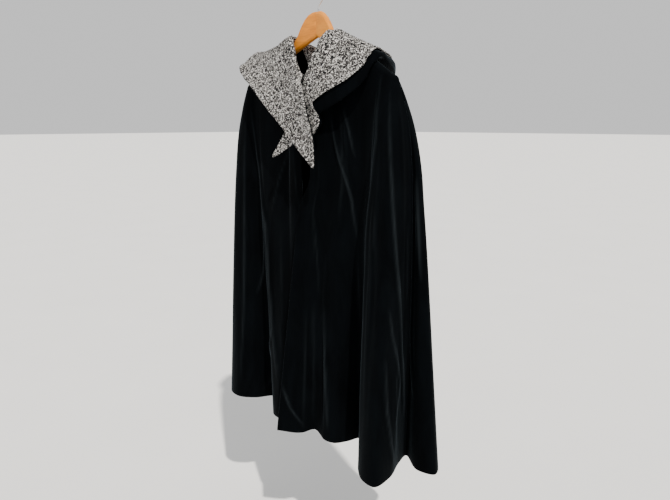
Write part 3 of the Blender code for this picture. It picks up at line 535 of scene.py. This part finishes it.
def lining_grid(rows):
    """Outside of the tweed, from the neck seam over the fold to the rim."""
    fold, middle, rim, out, values = hood_parts()
    grid = np.zeros((rows, len(fold), 3))
    for c in range(len(fold)):
        free = section_curve(np.array([fold[c], middle[c], rim[c]]), rows)
        seam = neck_seam(fold[c])
        inner = (fold[c] + seam) / 2
        inward = -fold[c, :2] / np.linalg.norm(fold[c, :2])
        inner[:2] = fold[c, :2] + inward * FOLD_LEAN
        brow = fold[c] + out[c] * FOLD_WIDTH
        sewn = np.zeros((rows, 3))
        depth = stand_depth(fold[c])
        share = depth / STAND_DEPTH
        sewn[0] = seam + np.array([*inward * STAND_LEAN, -1]) * depth
        sewn[1] = inner * (1 - share) + (seam + np.array([0, 0, LAP_GAP])) * share
        sewn[2:] = section_curve(np.array([brow, middle[c], rim[c]]), rows - 2)
        stand = values[c, 7]
        grid[:, c] = free * (1 - stand) + sewn * stand
    return grid


def outer_grid(lining, normals):
    """Outside of the velvet, below the tweed, rolled out past its rim."""
    *_, out, values = hood_parts()
    under = lining - normals * (TWEED + LAYER_GAP + CLOTH)
    last = len(under) - 1
    stand, roll_out, roll_down, puff = (values[:, k][:, None] for k in (7, 8, 9, 10))
    start = HIDDEN_ROWS * np.clip(stand * 2, 0, 1)
    rows = []
    for r, (outward, downward) in enumerate(ROLL_SHARES[:last]):
        place = start + (last - 1 - start) * r / (last - 1)
        row = row_at(under, place)
        row = row - row_at(normals, place) * puff * math.sin(math.pi * r / last)
        row = row + out * roll_out * outward
        row[:, 2:] -= roll_down * downward
        rows.append(row)
    for back, (outward, downward) in zip(ROLL_BACK, ROLL_SHARES[last:]):
        row = under[last] + (under[last - 1] - under[last]) * back + out * roll_out * outward
        row[:, 2:] -= roll_down * downward
        rows.append(row)
    return np.stack(rows)


def row_at(grid, place):
    """The points of a grid at a fractional row of each column."""
    low = np.clip(np.floor(place[:, 0]).astype(int), 0, len(grid) - 2)
    columns = np.arange(grid.shape[1])
    part = place - low[:, None]
    return grid[low, columns] * (1 - part) + grid[low + 1, columns] * part


def quads(rows, columns, base=0):
    """Faces between the neighbouring points of a grid whose first point is number base."""
    faces = []
    for r in range(rows - 1):
        for c in range(columns - 1):
            a = base + r * columns + c
            faces.append((a, a + columns, a + columns + 1, a + 1))
    return faces


def tree_of(grids):
    """Search tree of the outsides of several grids, with their faces pointing out."""
    verts = []
    faces = []
    for grid in grids:
        faces.extend(quads(*grid.shape[:2], len(verts)))
        verts.extend(Vector(point) for point in grid.reshape(-1, 3))
    return BVHTree.FromPolygons(verts, faces)


def spread(push):
    """Each move averaged with those of its neighbours."""
    padded = np.pad(push, ((1, 1), (1, 1), (0, 0)), mode="edge")
    along = (padded[:-2] + 2 * padded[1:-1] + padded[2:]) / 4
    return (along[:, :-2] + 2 * along[:, 1:-1] + along[:, 2:]) / 4


def kept_clear(grid, tree, room, face, buried=()):
    """The grid moved so that a face set off it keeps its room from a surface.

    The first row of the columns listed as buried lies inside the neck and is passed over.
    """
    push = np.zeros_like(grid)
    reach = np.zeros(grid.shape[:2])
    for r, c in np.ndindex(grid.shape[0] - 1, grid.shape[1] - 1):
        if r == 0 and (c in buried or c + 1 in buried):
            continue
        corners = face[r:r + 2, c:c + 2]
        for u, v in CELL_SAMPLES:
            across = corners[:, 0] * (1 - v) + corners[:, 1] * v
            point = Vector(across[0] * (1 - u) + across[1] * u)
            near, normal, _, distance = tree.find_nearest(point)
            height = (point - near).dot(normal)
            lack = room[r] - height
            beside = math.sqrt(max(distance ** 2 - height ** 2, 0))
            if lack <= 0 or beside > BESIDE_LIMIT + distance * BESIDE_SHARE:
                continue
            for place in ((r, c), (r + 1, c), (r, c + 1), (r + 1, c + 1)):
                if lack > reach[place]:
                    reach[place] = lack
                    push[place] = np.array(normal) * lack
    for _ in range(SPREAD_ROUNDS):
        wider = spread(push)
        grown = np.linalg.norm(wider, axis=2, keepdims=True) > reach[:, :, None]
        push = np.where(grown, wider, push)
    return grid + push


def finer(grid, row_steps, column_steps):
    """The grid with smooth rows and columns put in between its own."""
    rows = np.arange(len(grid))
    grid = spline(rows, grid, between(rows, row_steps))
    columns = np.arange(grid.shape[1])
    across = spline(columns, grid.transpose(1, 0, 2), between(columns, column_steps))
    return across.transpose(1, 0, 2)


def crease_heights(grid, places):
    """Height of the creases at each point of a panel, and how strong the painted highlight on their
    ridges is.
    """
    step = np.linalg.norm(np.gradient(grid, axis=1), axis=2)
    falls = np.interp(places, fall_line_places(), np.arange(len(FALL_LINES)))
    per_fall = step / np.gradient(falls)
    heights = np.zeros(grid.shape[:2])
    ridge_highlight = np.zeros(grid.shape[:2])
    depth = -grid[:, :, 2]
    for _, half_width, height, line in CREASES + chance_creases():
        line = np.array(line)
        part = (depth + line[0, 1]) / (line[0, 1] - line[-1, 1])
        inside = (part > 0) & (part < 1)
        away = (falls - np.interp(depth, -line[:, 1], line[:, 0])) * per_fall / half_width
        shape = (1 - CREASE_DISH * away ** 2) * np.exp(-away ** 2 / 2)
        ends = np.sin(math.pi * np.clip(part, 0, 1)) ** CREASE_END_POWER
        heights += np.where(inside, height * ends * shape, 0)
        # Painted highlight: strongest on the ridge line of each crease
        ridge_light = np.exp(-(away * half_width / RIDGE_HIGHLIGHT_WIDTH) ** 2 / 2) * ends * height / RIDGE_HIGHLIGHT_HEIGHT
        ridge_highlight = np.maximum(ridge_highlight, np.where(inside, ridge_light, 0))
    return heights, ridge_highlight


def chance_creases():
    """Small drag lines at seeded places all round the cape."""
    draw = random.Random(CHANCE_SEED)
    creases = []
    for number in range(CHANCE_COUNT):
        fall = draw.uniform(0, len(FALL_LINES) - 1)
        top = draw.uniform(*CHANCE_TOP)
        length = draw.uniform(*CHANCE_LENGTH)
        lean = draw.uniform(*CHANCE_LEAN)
        half_width = draw.uniform(*CHANCE_HALF_WIDTH)
        height = draw.choice(CHANCE_SIGNS) * draw.uniform(*CHANCE_HEIGHT)
        line = ((fall, top), (fall + lean, max(top - length, CHANCE_LOWEST)))
        creases.append((f"chance_{number}", half_width, height, line))
    return tuple(creases)


def mark_ridge_highlight(piece, ridge_highlight):
    """Write on the outside of a panel how strong its painted ridge highlight is, from 0 to 1."""
    values = np.zeros(len(piece.data.vertices), dtype=np.float32)
    values[:ridge_highlight.size] = np.clip(ridge_highlight.ravel(), 0, 1)
    piece.data.attributes.new(RIDGE_HIGHLIGHT_ATTRIBUTE, "FLOAT", "POINT").data.foreach_set("value", values)


def shell(name, outside, normals, thickness, mat):
    """Closed cloth between a grid and the same grid moved in, with a round edge."""
    rows, columns = outside.shape[:2]
    inside = outside - normals * thickness
    count = rows * columns
    rim = [(0, c) for c in range(columns)]
    rim += [(r, columns - 1) for r in range(1, rows)]
    rim += [(rows - 1, c) for c in range(columns - 2, -1, -1)]
    rim += [(r, 0) for r in range(rows - 2, 0, -1)]
    inner = [(min(max(r, 1), rows - 2), min(max(c, 1), columns - 2)) for r, c in rim]
    verts = [outside.reshape(-1, 3), inside.reshape(-1, 3)]
    edge = np.array([outside[place] for place in rim])
    lean = np.array([normals[place] for place in rim])
    way = edge - np.array([outside[place] for place in inner])
    way -= lean * np.sum(way * lean, axis=1, keepdims=True)
    way /= np.maximum(np.linalg.norm(way, axis=1, keepdims=True), 1e-9)
    for degrees in RIM_ANGLES:
        angle = math.radians(degrees)
        ring = edge - lean * thickness / 2 * (1 - math.sin(angle))
        verts.append(ring + way * thickness / 2 * math.cos(angle))
    faces = []
    for r in range(rows - 1):
        for c in range(columns - 1):
            a = r * columns + c
            b, d = a + 1, a + columns
            faces.append((a, b, d + 1, d))
            faces.append((a + count, d + count, d + 1 + count, b + count))
    loops = [[r * columns + c for r, c in rim]]
    for ring in range(len(RIM_ANGLES)):
        start = 2 * count + ring * len(rim)
        loops.append(list(range(start, start + len(rim))))
    loops.append([index + count for index in loops[0]])
    for upper, lower in zip(loops[:-1], loops[1:]):
        for i in range(len(rim)):
            j = (i + 1) % len(rim)
            faces.append((upper[j], upper[i], lower[i], lower[j]))
    return solid(name, np.concatenate(verts), faces, mat)


def object_of(name, data):
    """Object with the given data, put into the scene."""
    obj = bpy.data.objects.new(name, data)
    bpy.context.scene.collection.objects.link(obj)
    return obj


def solid(name, verts, faces, mat):
    """Object from points and faces, turned so that its faces point out."""
    mesh = bpy.data.meshes.new(name)
    mesh.from_pydata([tuple(v) for v in verts], [], faces)
    work = bmesh.new()
    work.from_mesh(mesh)
    if work.calc_volume(signed=True) < 0:
        bmesh.ops.reverse_faces(work, faces=work.faces[:])
    work.to_mesh(mesh)
    work.free()
    mesh.materials.append(mat)
    mesh.shade_smooth()
    return object_of(name, mesh)


def panel_grids():
    """Coarse grids of the cape's panels, as its solids have them."""
    at = fall_line_places()
    grids = []
    for _, first, last, is_back, *_ in CAPE_PANELS:
        start, end = (row_number(FALL_LINES, fall) for fall in (first, last))
        places = between(at[start:end + 1], COLUMNS_PER_FALL)
        grids.append(cape_grid(places, is_back)[0])
    return grids


def hood_grids():
    """Grids of the tweed and of the velvet of the hood, laid on the cape."""
    cape = tree_of(panel_grids())
    lining = lining_grid(HOOD_ROWS)
    layers = TWEED + LAYER_GAP + CLOTH
    room = [LAP_GAP] * NECK_ROWS + [layers + HOOD_ROOM] * (len(lining) - NECK_ROWS)
    lap = [LAP_GAP] * ROLL_ROWS
    upper = row_number(HOOD_SECTIONS, "right_neck") * COLUMNS_PER_SECTION
    lower = row_number(HOOD_SECTIONS, "left_neck") * COLUMNS_PER_SECTION
    buried = [c for c, fold in enumerate(hood_parts()[0]) if stand_depth(fold) > 0]
    for _ in range(CLEARING_ROUNDS):
        lining = kept_clear(lining, cape, room, lining, buried)
        back = lining + grid_normals(lining) * TWEED
        lining = kept_clear(lining, cape, lap, back, buried)
        end = lining[:, :upper]
        beneath = tree_of([lining[:, lower:][:, ::-1]])
        lining[:, :upper] = kept_clear(end, beneath, [layers + HOOD_ROOM / 2] * len(end), end)
    normals = -grid_normals(lining)
    outer = outer_grid(lining, normals)
    tweed_back = tree_of([lining - normals * TWEED])
    for _ in range(CLEARING_ROUNDS):
        outer = kept_clear(outer, cape, lap, outer)
        outer[:, :upper] = kept_clear(outer[:, :upper], beneath, lap, outer[:, :upper])
        inside = outer - grid_normals(outer) * CLOTH
        outer = kept_clear(outer, tweed_back, [SEAM_GAP] * len(outer), inside)
    return lining, outer


def boucle(lining, look, yarn):
    """Small loops of yarn that stand on the outside of the tweed."""
    rows, columns = lining.shape[:2]
    faces = quads(rows, columns)
    mesh = bpy.data.meshes.new("hood_boucle")
    mesh.from_pydata([tuple(v) for v in lining.reshape(-1, 3)], [], faces)
    middle = mesh.polygons[len(faces) // 2]
    if middle.normal.dot(Vector(-grid_normals(lining)[rows // 2, columns // 2])) < 0:
        mesh.flip_normals()
    ground = object_of("hood_boucle", mesh)
    group = loop_group()
    modifier = ground.modifiers.new("loops", "NODES")
    modifier.node_group = group
    values = {"Spacing": look.loop_spacing, "Seed": look.loop_seed, "Yarn": yarn}
    for socket in group.interface.items_tree:
        if socket.item_type == "SOCKET" and socket.name in values:
            modifier[socket.identifier] = values[socket.name]
    view = bpy.context.evaluated_depsgraph_get()
    grown = bpy.data.meshes.new_from_object(ground.evaluated_get(view))
    ground.modifiers.remove(modifier)
    ground.data = grown
    grown.name = "hood_boucle"
    return ground


def loop_group():
    """Node group that sets curled loops of yarn at spaced points of a surface."""
    group = bpy.data.node_groups.new("yarn_loops", "GeometryNodeTree")
    face = group.interface
    face.new_socket("Geometry", in_out="INPUT", socket_type="NodeSocketGeometry")
    for name, kind in (("Spacing", "Float"), ("Seed", "Int"), ("Yarn", "Material")):
        face.new_socket(name, in_out="INPUT", socket_type=f"NodeSocket{kind}")
    face.new_socket("Geometry", in_out="OUTPUT", socket_type="NodeSocketGeometry")

    def add(kind, inputs=None, **settings):
        node = group.nodes.new(kind)
        for key, value in settings.items():
            setattr(node, key, value)
        for key, value in (inputs or {}).items():
            put(group, node, key, value)
        return node

    given = add("NodeGroupInput").outputs
    scatter = add("GeometryNodeDistributePointsOnFaces", {
        "Mesh": given["Geometry"], "Distance Min": given["Spacing"],
        "Density Max": LOOP_DENSITY, "Seed": given["Seed"],
    }, distribute_method="POISSON")
    arc = add("GeometryNodeCurveArc", {
        "Resolution": LOOP_POINTS, "Radius": LOOP_RADIUS,
        "Start Angle": math.radians(LOOP_START_DEGREES),
        "Sweep Angle": math.radians(LOOP_SWEEP_DEGREES),
    }, mode="RADIUS")
    round_yarn = add("GeometryNodeCurvePrimitiveCircle", {
        "Resolution": YARN_SIDES, "Radius": YARN_RADIUS,
    }, mode="RADIUS")
    tube = add("GeometryNodeCurveToMesh", {
        "Curve": arc.outputs["Curve"], "Profile Curve": round_yarn.outputs["Curve"],
        "Fill Caps": True,
    })
    upright = add("GeometryNodeTransform", {
        "Geometry": tube.outputs["Mesh"],
        "Rotation": (math.radians(LOOP_TILT_DEGREES), 0.0, 0.0),
    })
    spin = add("FunctionNodeRandomValue", {
        "Seed": given["Seed"], "Min": (-LOOP_LEAN, -LOOP_LEAN, 0.0),
        "Max": (LOOP_LEAN, LOOP_LEAN, math.tau),
    }, data_type="FLOAT_VECTOR")
    size = add("FunctionNodeRandomValue", {
        "Seed": given["Seed"], 2: LOOP_SIZES[0], 3: LOOP_SIZES[1],
    }, data_type="FLOAT")
    placed = add("GeometryNodeInstanceOnPoints", {
        "Points": scatter.outputs["Points"], "Instance": upright.outputs["Geometry"],
        "Rotation": scatter.outputs["Rotation"], "Scale": size.outputs[1],
    })
    turned = add("GeometryNodeRotateInstances", {
        "Instances": placed.outputs["Instances"], "Rotation": spin.outputs[0],
    })
    real = add("GeometryNodeRealizeInstances", {"Geometry": turned.outputs["Instances"]})
    dyed = add("GeometryNodeSetMaterial", {
        "Geometry": real.outputs["Geometry"], "Material": given["Yarn"],
    })
    add("NodeGroupOutput", {"Geometry": dyed.outputs["Geometry"]})
    return group


def put(tree, node, socket, value):
    """Set one socket of a node, or link it where the value is a socket."""
    if isinstance(value, bpy.types.NodeSocket):
        tree.links.new(value, node.inputs[socket])
    else:
        node.inputs[socket].default_value = value


class Nodes:
    """A material's node tree, built by short calls."""

    def __init__(self, name):
        self.material = bpy.data.materials.new(name)
        self.material.use_nodes = True
        self.tree = self.material.node_tree
        self.shader = self.tree.nodes["Principled BSDF"]

    def add(self, kind, **sockets):
        """A node with its sockets set, or linked where a socket is given."""
        node = self.tree.nodes.new(kind)
        for name, value in sockets.items():
            put(self.tree, node, name.replace("_", " "), value)
        return node

    def set(self, **sockets):
        """Set or link sockets of the shader."""
        for name, value in sockets.items():
            put(self.tree, self.shader, name.replace("_", " "), value)

    def place(self, scale=(1, 1, 1), turn=(0, 0, 0)):
        """Object coordinates, stretched and turned."""
        where = self.tree.nodes.new("ShaderNodeTexCoord").outputs["Object"]
        return self.add("ShaderNodeMapping", Vector=where, Scale=scale, Rotation=turn).outputs[0]

    def noise(self, vector, scale, detail=4.0, roughness=0.5, distortion=0.0):
        """Soft noise between 0 and 1."""
        node = self.add("ShaderNodeTexNoise", Vector=vector, Scale=scale, Detail=detail,
                        Roughness=roughness, Distortion=distortion)
        return node.outputs[0]

    def ramp(self, factor, stops, interpolation="LINEAR"):
        """Colours along a factor: place and colour of each stop."""
        node = self.add("ShaderNodeValToRGB", Fac=factor)
        ramp = node.color_ramp
        ramp.interpolation = interpolation
        while len(ramp.elements) < len(stops):
            ramp.elements.new(0.5)
        for element, (position, colour) in zip(ramp.elements, stops):
            element.position = position
            element.color = (*colour, 1.0)
        return node.outputs[0]

    def mix(self, factor, first, second):
        """One colour turned into another as the factor rises to 1."""
        node = self.tree.nodes.new("ShaderNodeMix")
        node.data_type = "RGBA"
        for socket, value in ((0, factor), (6, first), (7, (*second, 1.0))):
            put(self.tree, node, socket, value)
        return node.outputs[2]

    def maths(self, operation, a, b=0.0):
        """One sum of two numbers or sockets."""
        node = self.tree.nodes.new("ShaderNodeMath")
        node.operation = operation
        put(self.tree, node, 0, a)
        put(self.tree, node, 1, b)
        return node.outputs[0]

    def bump(self, height, strength, distance, below=None):
        """Relief on the surface, over another relief if one is given."""
        node = self.add("ShaderNodeBump", Height=height, Strength=strength, Distance=distance)
        if below is not None:
            put(self.tree, node, "Normal", below)
        return node.outputs[0]


def velvet_material(look):
    """Dark pile: nearly black, with a blue-grey sheen where it is seen along its fall, painted lighter
    patches for the pile's changing sheen, and a painted highlight on the crease ridges.
    """
    nodes = Nodes("velvet_pile")
    # Painted sheen: random patches between the dark and the lighter colour stand in for the pile's
    # changing sheen; the same noise dents the cloth as crush marks
    crush_and_sheen_patches = nodes.noise(nodes.place((1, 1, 0.28)), 22.0, 5.0, 0.6, 0.4)
    pile = nodes.noise(nodes.place((1, 1, 0.5)), 1300.0, 2.0)
    dark = tuple(look.velvet_dark)
    light = tuple(look.velvet_sheen_patch)
    # Painted highlight: the crease ridges are mixed towards a lighter colour, broken up by fibres
    highlight_attribute = nodes.tree.nodes.new("ShaderNodeAttribute")
    highlight_attribute.attribute_name = RIDGE_HIGHLIGHT_ATTRIBUTE
    fibres = nodes.noise(nodes.place((1, 1, 0.12)), 150.0, 3.0)
    ridge_highlight = nodes.maths("MULTIPLY", highlight_attribute.outputs["Fac"],
                       nodes.maths("ADD", nodes.maths("MULTIPLY", fibres, 1.2), 0.2))
    colour = nodes.mix(ridge_highlight, nodes.ramp(crush_and_sheen_patches, ((0.34, dark), (0.70, light))),
                       tuple(look.velvet_ridge_highlight))
    nodes.set(
        Base_Color=colour,
        Roughness=0.9,
        Specular_IOR_Level=0.03,
        Sheen_Weight=look.sheen,
        Sheen_Roughness=0.24,
        Sheen_Tint=(*look.sheen_tint, 1.0),
    )
    low = nodes.bump(crush_and_sheen_patches, 0.25, 0.004)
    nodes.set(Normal=nodes.bump(pile, 0.35, 0.0006, low))
    return nodes.material


def tweed_material(look):
    """Salt-and-pepper woollen cloth: black, grey and white flecks, each a small nub."""
    nodes = Nodes("tweed_flecks")
    cells = nodes.add("ShaderNodeTexVoronoi", Vector=nodes.place(), Scale=look.fleck_scale,
                      Randomness=1.0)
    shade = nodes.add("ShaderNodeSeparateColor", Color=cells.outputs["Color"]).outputs[0]
    nodes.set(
        Base_Color=nodes.ramp(shade, TWEED_YARNS, "CONSTANT"),
        Roughness=0.95,
        Specular_IOR_Level=0.06,
    )
    nub = nodes.bump(nodes.maths("SUBTRACT", 0.8, cells.outputs["Distance"]), 0.7, 0.0012)
    fibre = nodes.noise(nodes.place(), 2400.0, 3.0)
    nodes.set(Normal=nodes.bump(fibre, 0.4, 0.0004, nub))
    return nodes.material


def wood_material(name, lean, look):
    """Varnished wood with its grain along one arm."""
    nodes = Nodes(name)
    along = nodes.place((3.0, 26.0, 26.0), (0, lean, 0))
    wander = nodes.noise(along, 1.4, 3.0, 0.5)
    grain = nodes.noise(nodes.place((5.0, 90.0, 90.0), (0, lean, 0)), 2.2, 6.0, 0.62, 0.6)
    pores = nodes.noise(nodes.place((18.0, 620.0, 620.0), (0, lean, 0)), 1.0, 2.0)
    blend = nodes.maths("ADD", nodes.maths("MULTIPLY", wander, 0.55),
                        nodes.maths("MULTIPLY", grain, 0.45))
    nodes.set(
        Base_Color=nodes.ramp(blend, (
            (0.30, tuple(look.wood_dark)),
            (0.52, tuple(look.wood_mid)),
            (0.72, tuple(look.wood_light)),
        )),
        Roughness=nodes.ramp(pores, ((0.3, (0.46,) * 3), (0.7, (0.34,) * 3))),
        Specular_IOR_Level=0.18,
        Coat_Weight=0.06,
        Coat_Roughness=0.22,
        Normal=nodes.bump(pores, 0.12, 0.0003),
    )
    return nodes.material


def hook_material():
    """Bright plated wire with faint drawn lines."""
    nodes = Nodes("plated_wire")
    scratch = nodes.noise(nodes.place((90, 90, 900)), 3.0, 3.0)
    nodes.set(
        Base_Color=(0.62, 0.62, 0.63, 1.0),
        Metallic=1.0,
        Roughness=nodes.ramp(scratch, ((0.3, (0.22,) * 3), (0.7, (0.36,) * 3))),
    )
    return nodes.material


def floor_material():
    """Matt pale floor."""
    nodes = Nodes("pale_floor")
    speck = nodes.noise(nodes.place(), 3.0, 2.0)
    nodes.set(
        Base_Color=nodes.ramp(speck, ((0.3, (0.86, 0.86, 0.85)), (0.7, (0.88, 0.88, 0.87)))),
        Roughness=0.9,
    )
    return nodes.material


COLOUR = {"subtype": "COLOR", "size": 3, "min": 0, "max": 1}


class CapeLook(bpy.types.PropertyGroup):
    """Colours and sizes that a user would change."""

    # Painted sheen: random patches between these two colours stand in for the pile's changing sheen
    velvet_dark: bpy.props.FloatVectorProperty(
        name="Velvet, dark", description="Velvet in the hollows of its pile",
        **COLOUR, default=(0.0004, 0.0007, 0.0011))
    velvet_sheen_patch: bpy.props.FloatVectorProperty(
        name="Velvet, light", description="Velvet where its pile stands up",
        **COLOUR, default=(0.0015, 0.0023, 0.0031))
    # Painted highlight: the lighter colour laid along the crease ridges
    velvet_ridge_highlight: bpy.props.FloatVectorProperty(
        name="Velvet, worn", description="Velvet along its creases",
        **COLOUR, default=(0.0110, 0.0142, 0.0165))
    sheen: bpy.props.FloatProperty(
        name="Sheen", description="Strength of the velvet's sheen",
        subtype="FACTOR", min=0, max=1, default=0.12)
    sheen_tint: bpy.props.FloatVectorProperty(
        name="Sheen tint", description="Colour of the velvet's sheen",
        **COLOUR, default=(0.55, 0.72, 0.85))
    fleck_scale: bpy.props.FloatProperty(
        name="Fleck scale", description="Flecks of the tweed to a metre",
        min=50, max=1000, default=560)
    loop_spacing: bpy.props.FloatProperty(
        name="Loop spacing", description="Least distance between loops of the tweed",
        subtype="DISTANCE", min=0.002, max=0.02, default=0.0036)
    loop_seed: bpy.props.IntProperty(
        name="Loop seed", description="Places and turns of the loops",
        min=0, max=1000, default=5)
    wood_dark: bpy.props.FloatVectorProperty(
        name="Wood, dark", description="Dark grain of the hanger",
        **COLOUR, default=(0.48, 0.155, 0.022))
    wood_mid: bpy.props.FloatVectorProperty(
        name="Wood, middle", description="Middle grain of the hanger",
        **COLOUR, default=(0.72, 0.255, 0.026))
    wood_light: bpy.props.FloatVectorProperty(
        name="Wood, light", description="Light grain of the hanger",
        **COLOUR, default=(0.84, 0.340, 0.046))


def material_once(name, make, *facts):
    """The material of that name, made the first time that it is asked for."""
    return bpy.data.materials.get(name) or make(*facts)


class GARMENT_OT_cape_panels(bpy.types.Operator):
    """Make the cape's three velvet panels"""

    bl_idname = "garment.cape_panels"
    bl_label = "Cape panels"

    def execute(self, context):
        look = context.scene.cape_look
        velvet = material_once("velvet_pile", velvet_material, look)
        at = fall_line_places()
        for panel, first, last, is_back, width, length, area in CAPE_PANELS:
            start, end = (at[row_number(FALL_LINES, fall)] for fall in (first, last))
            places = np.linspace(start, end, round((end - start) / CAPE_STEP) + 1)
            grid, normals = cape_grid(places, is_back, CAPE_ARC_ROWS, CAPE_FALL_ROWS)
            for edge, seam in ((0, start), (-1, end)):
                if at[0] < seam < at[-1]:
                    near = [seam - SEAM_REACH, seam, seam + SEAM_REACH]
                    leans = cape_grid(near, is_back, CAPE_ARC_ROWS, CAPE_FALL_ROWS)[1]
                    normals[:, edge] = leans[:, 1]
            heights, ridge_highlight = crease_heights(grid, places)
            grid = grid + normals * heights[:, :, None]
            grid = pull_in(grid, CLOTH / 2 - SEAM_LAP)
            piece = shell(f"velvet_{panel}", grid, normals, CLOTH, velvet)
            mark_ridge_highlight(piece, ridge_highlight)
            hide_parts(f"cape_{panel}")
            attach(piece, "root")
        return {"FINISHED"}


class GARMENT_OT_hood(bpy.types.Operator):
    """Make the hood: its tweed lining and its velvet outside, turned down round the neck"""

    bl_idname = "garment.hood"
    bl_label = "Hood"

    def execute(self, context):
        look = context.scene.cape_look
        velvet = material_once("velvet_pile", velvet_material, look)
        tweed = material_once("tweed_flecks", tweed_material, look)
        lining, outer = (finer(g, HOOD_ROW_STEPS, HOOD_COLUMN_STEPS) for g in hood_grids())
        loops = boucle(lining, look, tweed)
        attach(loops, "root")
        piece = shell("hood_tweed", lining, -grid_normals(lining), TWEED, tweed)
        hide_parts("hood_lining")
        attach(piece, "root")
        piece = shell("hood_velvet", outer, grid_normals(outer), CLOTH, velvet)
        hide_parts("hood_outer")
        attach(piece, "root")
        return {"FINISHED"}


class GARMENT_OT_hanger(bpy.types.Operator):
    """Give the hanger its wood and metal"""

    bl_idname = "garment.hanger"
    bl_label = "Hanger"

    def execute(self, context):
        look = context.scene.cape_look
        nodes = frame["nodes"]
        for node, side in (("hanger_arm_left", 1), ("hanger_arm_right", -1)):
            wood = wood_material(f"wood_{node}", side * math.radians(ARM_GRAIN_DEGREES), look)
            nodes[node].material_slots[0].material = wood
        nodes["hanger_hook"].material_slots[0].material = hook_material()
        return {"FINISHED"}


class GARMENT_OT_stage(bpy.types.Operator):
    """Make the camera, the lights and the pale floor"""

    bl_idname = "garment.stage"
    bl_label = "Stage"

    def execute(self, context):
        scene = context.scene
        camera = bpy.data.cameras.new("camera")
        camera.sensor_fit = "HORIZONTAL"
        camera.sensor_width = SENSOR_WIDTH
        camera.lens = CAMERA_LENS
        camera.clip_start = 0.01
        eye = object_of("camera", camera)
        eye.location = CAMERA_PLACE
        eye.rotation_euler = (math.radians(CAMERA_PITCH), 0.0, math.radians(CAMERA_TURN))
        scene.camera = eye
        sun = bpy.data.lights.new("key", "SUN")
        sun.energy = SUN_STRENGTH
        sun.color = SUN_COLOUR
        sun.angle = math.radians(SUN_DEGREES)
        key = object_of("key", sun)
        key.rotation_euler = Vector(SUN_WAY).to_track_quat("Z", "Y").to_euler()
        world = bpy.data.worlds.new("soft_room")
        world.use_nodes = True
        background = world.node_tree.nodes["Background"]
        background.inputs["Color"].default_value = (1.0, 1.0, 1.0, 1.0)
        background.inputs["Strength"].default_value = ROOM_STRENGTH
        scene.world = world
        mesh = bpy.data.meshes.new("floor")
        corners = [(x * FLOOR_HALF, y * FLOOR_HALF, FLOOR_Z)
                   for x, y in ((-1, -1), (1, -1), (1, 1), (-1, 1))]
        mesh.from_pydata(corners, [], [(0, 1, 2, 3)])
        mesh.materials.append(floor_material())
        floor = object_of("floor", mesh)
        return {"FINISHED"}


class GARMENT_PT_cape(bpy.types.Panel):
    """Lists the pieces in the order in which they are made"""

    bl_label = "Hooded Cape"
    bl_space_type = "VIEW_3D"
    bl_region_type = "UI"
    bl_category = "Hooded Cape"

    def draw(self, context):
        layout = self.layout
        for step in STEPS:
            layout.operator(step)
        for name in CapeLook.__annotations__:
            layout.prop(context.scene.cape_look, name)


STEPS = ("garment.cape_panels", "garment.hood", "garment.hanger", "garment.stage")
CLASSES = (
    CapeLook,
    GARMENT_OT_cape_panels,
    GARMENT_OT_hood,
    GARMENT_OT_hanger,
    GARMENT_OT_stage,
    GARMENT_PT_cape,
)


def register():
    for cls in CLASSES:
        bpy.utils.register_class(cls)
    bpy.types.Scene.cape_look = bpy.props.PointerProperty(type=CapeLook)


def unregister():
    del bpy.types.Scene.cape_look
    for cls in reversed(CLASSES):
        bpy.utils.unregister_class(cls)


def main():
    """Make every piece."""
    register()
    bpy.ops.garment.cape_panels()
    bpy.ops.garment.hood()
    bpy.ops.garment.hanger()
    bpy.ops.garment.stage()


if __name__ == "__main__":
    main()
